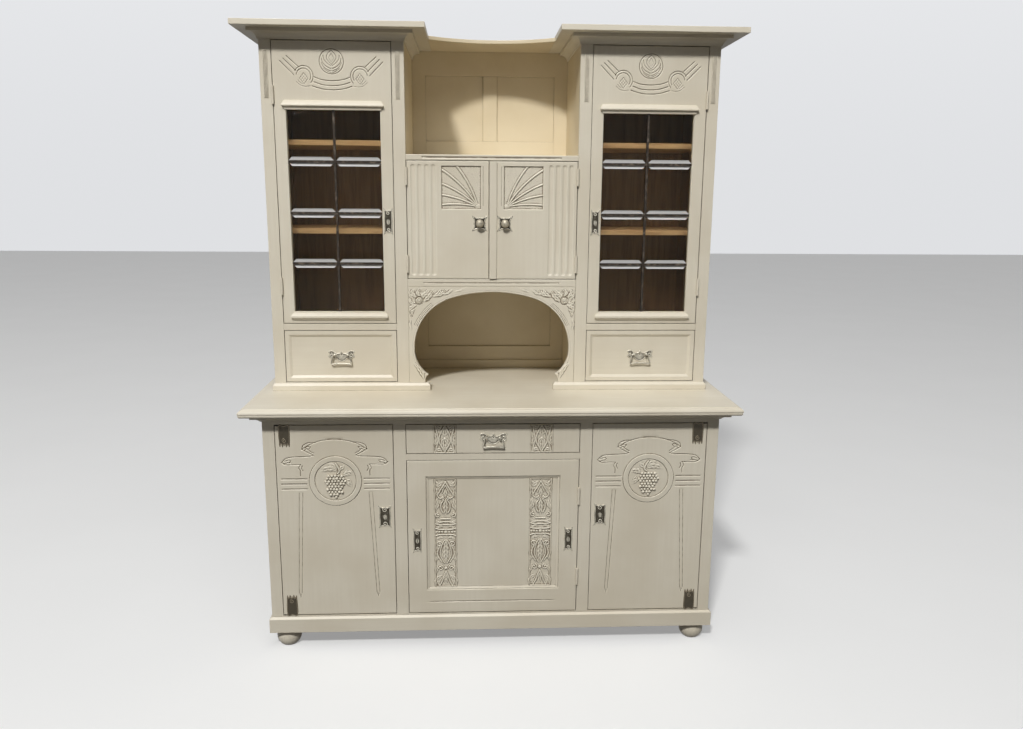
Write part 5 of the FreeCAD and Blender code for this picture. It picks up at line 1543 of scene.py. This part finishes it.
def makeRose(name):
    node = f"upper_{name}_ironwork"
    body = f"upper_{name}_door"
    level = middle(spanOf("upper_left_knob")["z"])  # the right knob has a tongue below it
    centre = (middle(spanOf(f"upper_{name}_knob")["x"]), level)
    back = spanOf(body)["y"][0]
    loop = plateLoop("rose", rose["half"], rose["half"], True)
    plate = plateMesh(node + "_plate", loop, centre, back, boss=rose["boss"])
    reach = rose["screws"]
    heads = [(centre[0] + a, centre[1] + b) for a in (-reach, reach) for b in (-reach, reach)]
    screws = screwMesh(heads, back - plates["screwStand"])
    leaves = keptIslands(node, lambda low, high: high[1] > back + rose["leafDepth"], plates["bevel"])
    joinedPiece(node + "_dressed", [plate, screws], "patina", body, [node])
    finishedPiece(f"upper_{name}_leaves", leaves, "paintUpright", body)


for sideName in sides:
    makeRose(sideName)
print("roses dressed")

pull = {
    "postSpacing": 44,
    "postRise": 6,
    "post": [(0, 6), (-2, 6), (-4, 4), (-7, 3.6), (-8, 4.6), (-13, 4.6), (-15, 2)],
    "holes": [(0, 5, 6), (26, -6, 5), (40, 12, 4), (-26, -6, 5), (-40, 12, 4)],  # x, z, width
    "bail": [(15.5, 0), (24, 0), (29, -2), (32, -14), (35, -29), (32, -33.5), (18, -31.5), (0, -31)],
    "rod": (2.2, 3.1),  # radius at the posts and in the middle of the grip
    "curl": (34, 4, 7, 1.2),  # across, up, radius, turns
    "screws": (41, -2),
}


def makePull(name):
    node = f"{name}_pull_plate"
    box = spanOf(node)
    centre = (middle(box["x"]), middle(box["z"]))
    half = ((box["x"][1] - box["x"][0]) / 2, (box["z"][1] - box["z"][0]) / 2)
    back = box["y"][1]
    across, up, radius, turns = pull["curl"]
    scrolls = [((side * across, up), radius, 90 + 90 * side, side * turns) for side in (-1, 1)]
    meshes = [plateMesh(node + "_carved", plateLoop("pull", *half), centre, back, scrolls, pull["holes"])]
    level = centre[1] + pull["postRise"]
    for side in (-1, 1):
        spot = (centre[0] + side * pull["postSpacing"] / 2, back - plates["thickness"], level)
        meshes.append(turnedMesh("post", pull["post"], spot, "y"))
    heads = [(centre[0] + side * pull["screws"][0], centre[1] + pull["screws"][1]) for side in (-1, 1)]
    meshes.append(screwMesh(heads, back - plates["screwStand"]))
    joinedPiece(node + "_dressed", meshes, "nickel", f"{name}_drawer", [node])
    rod = spanOf(f"{name}_bail")
    right = smoothPath(pull["bail"], 6)
    path = np.vstack([right, mirrored(right[::-1][1:], -1)]) + (middle(rod["x"]), level)
    swell = 1 - np.abs(np.linspace(-1, 1, len(path)))
    radii = pull["rod"][0] + (pull["rod"][1] - pull["rod"][0]) * swell
    mesh = rodMesh("bail", path, radii, middle(rod["y"]))
    finishedPiece(f"{name}_bail_bent", mesh, "nickel", f"{name}_bail", [f"{name}_bail"])


def rodMesh(name, path, radii, y):  # a round rod along a path in a plane that faces the front
    ahead = np.gradient(path, axis=0)
    ahead /= np.hypot(*ahead.T)[:, None]
    rings = []
    for (x, z), (dx, dz), radius in zip(path, ahead, radii):
        rings.append([(x - dz * a, y + b, z + dx * a) for a, b in turned(radius, 12)])
    return loftMesh(name, rings, 180)


for pullName in ("centre", "left", "right"):
    makePull(pullName)
print("pulls and bails dressed")

pivot = {
    "plate": (36, 76),
    "inset": 13,
    "strap": 2,
    "strapDepth": 15,
    "strapBevel": 0.3,
    "pinInset": 5,
    "pinRadius": 3,
    "curl": (14, 8, 90, 1.3),  # drop, radius, start angle, turns
    "screws": (11, (9, 44)),  # across, and down from the door's edge
}


def makePivots(name, side):
    node = f"base_{name}_hinges"
    hinges, door = spanOf(node), spanOf(f"base_{name}_door")
    front = door["y"][1] - baseDoor["thickness"]
    outer = max(abs(edge) for edge in door["x"])
    wide, tall = pivot["plate"]
    plateX = side * (outer - pivot["inset"] - wide / 2)
    strapX = sorted((side * (outer - pivot["inset"] - wide), side * (outer - 1)))
    meshes = []
    for end, edge, tip in ((1, door["z"][1], hinges["z"][1]), (-1, door["z"][0], hinges["z"][0])):
        centre = (plateX, edge - end * tall / 2)
        drop, *curl = pivot["curl"]
        loop = plateLoop("pivot", wide / 2, tall / 2, flip=end)
        meshes.append(plateMesh(node + "_plate", loop, centre, front, [((0, -end * drop), *curl)]))
        across, downs = pivot["screws"]
        heads = [(plateX + a * across, edge - end * down) for a in (-1, 1) for down in downs]
        meshes.append(screwMesh(heads, front - plates["screwStand"]))
        strapY = (front - 1, front + pivot["strapDepth"])
        strapZ = sorted((edge, edge - end * pivot["strap"]))
        meshes.append(blockMesh("strap", strapX, strapY, strapZ, pivot["strapBevel"]))
        spot = (side * (outer - pivot["pinInset"]), front + pivot["pinInset"], 0)
        pin = [(edge - end, pivot["pinRadius"]), (tip, pivot["pinRadius"])]
        meshes.append(turnedMesh("pin", pin, spot, "z"))
    joinedPiece(node + "_dressed", meshes, "iron", f"base_{name}_door", [node])


for sideName, side in sides.items():
    makePivots(sideName, side)
print("pivot hinges dressed")

reeds = {
    "wide": 16,
    "low": 185,  # foot and top of a reed, down from the door's top
    "high": 29,
    "count": 4,
    "rise": 2.2,
    "tight": 1.35,
    "endRun": 3,
    "outer": 1,  # off the middle of the outer stile, and in from the door
    "inner": 21,
    "x": {"fine": 0.5, "coarse": 6, "edge": 0.4},
    "z": {"fine": 1, "coarse": 24, "edge": 3},
    "seat": 0.2,
}


def reedMesh(x, low, high, face):
    wide = reeds["wide"]

    def carve(relief):
        relief.centre(x - wide / 2, low)
        across = relief.u / wide * reeds["count"]
        relief.height += reeds["rise"] * roundTop(reeds["tight"] * (2 * (across - np.floor(across)) - 1))
        ends = np.minimum(relief.v, high - low - relief.v)
        relief.height *= np.clip(ends / reeds["endRun"], 0.1, 1)

    box = {"x": (x - wide / 2, x + wide / 2), "y": (face - reeds["seat"], face), "z": (low, high)}
    return carvedBoard("reed", box, {"x": [box["x"]], "z": []}, reeds, carve)


def makeReeds():
    box = spanOf("tower_face_frames")
    door = spanOf("right_glass_door_frame")
    low, high = door["z"][1] - reeds["low"], door["z"][1] - reeds["high"]
    outer, inner = (door["x"][1] + box["x"][1]) / 2 + reeds["outer"], door["x"][0] - reeds["inner"]
    meshes = [reedMesh(side * x, low, high, box["y"][0]) for side in (-1, 1) for x in (outer, inner)]
    joinedPiece("tower_reeds", meshes, "paintUpright", "carcass")


makeReeds()
print("reeds laid")

softening = {  # edges of the plain painted boards, and their finish
    "plinth": (2, "paintLevel"), "base_sides": (2, "baseCase"), "base_face_frame": (1.6, "paintUpright"),
    "bed_moulding": (1, "paintLevel"), "tower_cases": (1.6, "towerCase"),
    "tower_face_frames": (1.6, "paintUpright"), "tower_base_mouldings": (1, "paintLevel"),
    "tower_cornices": (1.2, "paintLevel"), "crown_board": (1.2, "nichePaint"),
    "niche_back": (1.6, "nichePaint"), "meeting_strip": (1.4, "paintUpright"),
    "left_drawer_front": (1.2, "paintLevel"), "right_drawer_front": (1.2, "paintLevel"),
}
bodies = {"meeting_strip": "upper_right_door",
          "left_drawer_front": "left_drawer", "right_drawer_front": "right_drawer"}
curvedBoards = ("bed_moulding", "tower_base_mouldings", "tower_cornices", "crown_board")
for node, (bevel, finish) in softening.items():
    mesh = keptIslands(node, lambda low, high: True, bevel, node in curvedBoards)
    finishedPiece(node + "_softened", mesh, finish, bodies.get(node, "carcass"), [node])
print("boards softened:", len(softening))

plain = {  # nodes shown as they come from the solids
    "bun_feet": "paintLevel", "base_floor": "baseFloor", "base_partitions": "woodUpright",
    "shelves": "woodLevel", "drawer_runners": "woodDeep", "back_boards": "woodBack",
    "hinge_frame_leaves": "paintUpright", "upper_left_knob": "bronze", "upper_right_knob": "bronze",
    "base_centre_hinges": "paintUpright",
}
for sideName in sides:
    plain[f"{sideName}_glass_came"] = "came"
    plain[f"{sideName}_glass_hinges"] = "paintUpright"
for drawer in ("centre", "left", "right"):
    plain[f"{drawer}_drawer_box"] = "woodDeep"
for node, finish in plain.items():
    for place in nodes[node].material_slots:
        place.material = finishes[finish]
print("plain nodes finished:", len(plain))

studio = {
    "floor": (0.62, 0.62, 0.61, 1),
    "floorAged": (0.58, 0.58, 0.57, 1),
    "floorBounce": (0.040, 0.035, 0.029, 1),
    "floorGlow": (0.30, 0.30, 0.30, 1),
    "floorSize": 40,
    "horizon": (0.74, 0.75, 0.77, 1),
    "zenith": (0.93, 0.94, 0.96, 1),
    "skyStrength": 0.07,
    "camera": (-0.0757, -2.9899, 1.5802),
    "yaw": -2.86,
    "pitch": 11.609,
    "roll": 0.429,
    "lens": 828.4 / 1023 * 36,
    "lamps": [  # place, target, size, power
        ((-3.0, -10.0, 11.2), (0.0, 0.0, 1.2), 1.2, 1680),
        ((0.0, -2.2, 5.2), (0.0, -0.4, 0.9), 3.0, 62),
    ],
}


def seenRays(tree):  # rays that show the background, straight or by way of glass and metal
    path = tree.nodes.new("ShaderNodeLightPath")
    rays = [Signal(tree, path.outputs[f"Is {kind} Ray"]) for kind in ("Camera", "Glossy", "Transmission")]
    return rays[0] + rays[1] + rays[2]


def layFloor():
    half = studio["floorSize"] / 2
    mesh = bpy.data.meshes.new("floor")
    corners = [(-half, -half, 0), (half, -half, 0), (half, half, 0), (-half, half, 0)]
    mesh.from_pydata(corners, [], [(0, 1, 2, 3)])
    material, coords, shader = newFinish("floorFinish")
    seen = seenRays(coords.tree)
    shown = coords.noise(1.5, 3).tint(studio["floor"], studio["floorAged"])
    feed(shader, Base_Color=seen.tint(studio["floorBounce"], shown), Roughness=0.8,
         Emission_Color=seen.tint((0, 0, 0, 1), studio["floorGlow"]), Emission_Strength=1.0)
    mesh.materials.append(material)
    floor = newObject("floor", mesh)


def hangLamps():
    for number, (place, target, size, power) in enumerate(studio["lamps"]):
        lamp = bpy.data.lights.new(f"lamp{number}", "AREA")
        lamp.size = size
        lamp.energy = power
        holder = newObject(f"lamp{number}", lamp)
        holder.location = place
        holder.rotation_euler = (Vector(target) - Vector(place)).to_track_quat("-Z", "Y").to_euler()


def lightSky():
    world = bpy.data.worlds.new("studioSky")
    world.use_nodes = True
    bpy.context.scene.world = world
    tree = world.node_tree
    back = tree.nodes["Background"]
    seen = seenRays(tree)
    up = seen.node("ShaderNodeTexCoord", {}, {}, "Generated").parts()[2]
    colour = up.fade(-0.05, 0.7).tint(studio["horizon"], studio["zenith"])
    strength = seen.node("ShaderNodeMix", {}, {0: seen, 2: studio["skyStrength"], 3: 1.0})
    tree.links.new(colour.socket, back.inputs["Color"])
    tree.links.new(strength.socket, back.inputs["Strength"])


def setCamera():
    yaw, pitch, roll = (math.radians(studio[name]) for name in ("yaw", "pitch", "roll"))
    right = Vector((math.cos(yaw), math.sin(yaw), 0))
    level = Vector((-math.sin(yaw), math.cos(yaw), 0))
    ahead = level * math.cos(pitch) - Vector((0, 0, math.sin(pitch)))
    up = right.cross(ahead)
    tiltedRight = right * math.cos(roll) + up * math.sin(roll)
    tiltedUp = up * math.cos(roll) - right * math.sin(roll)
    camera = bpy.data.cameras.new("photoCamera")
    camera.lens = studio["lens"]
    camera.sensor_width = 36
    holder = newObject("photoCamera", camera)
    turn = Matrix((tiltedRight, tiltedUp, -ahead)).transposed().to_4x4()
    holder.matrix_world = Matrix.Translation(studio["camera"]) @ turn
    bpy.context.scene.camera = holder


layFloor()
hangLamps()
lightSky()
setCamera()
bpy.context.scene.view_settings.view_transform = "Standard"
print("studio set")
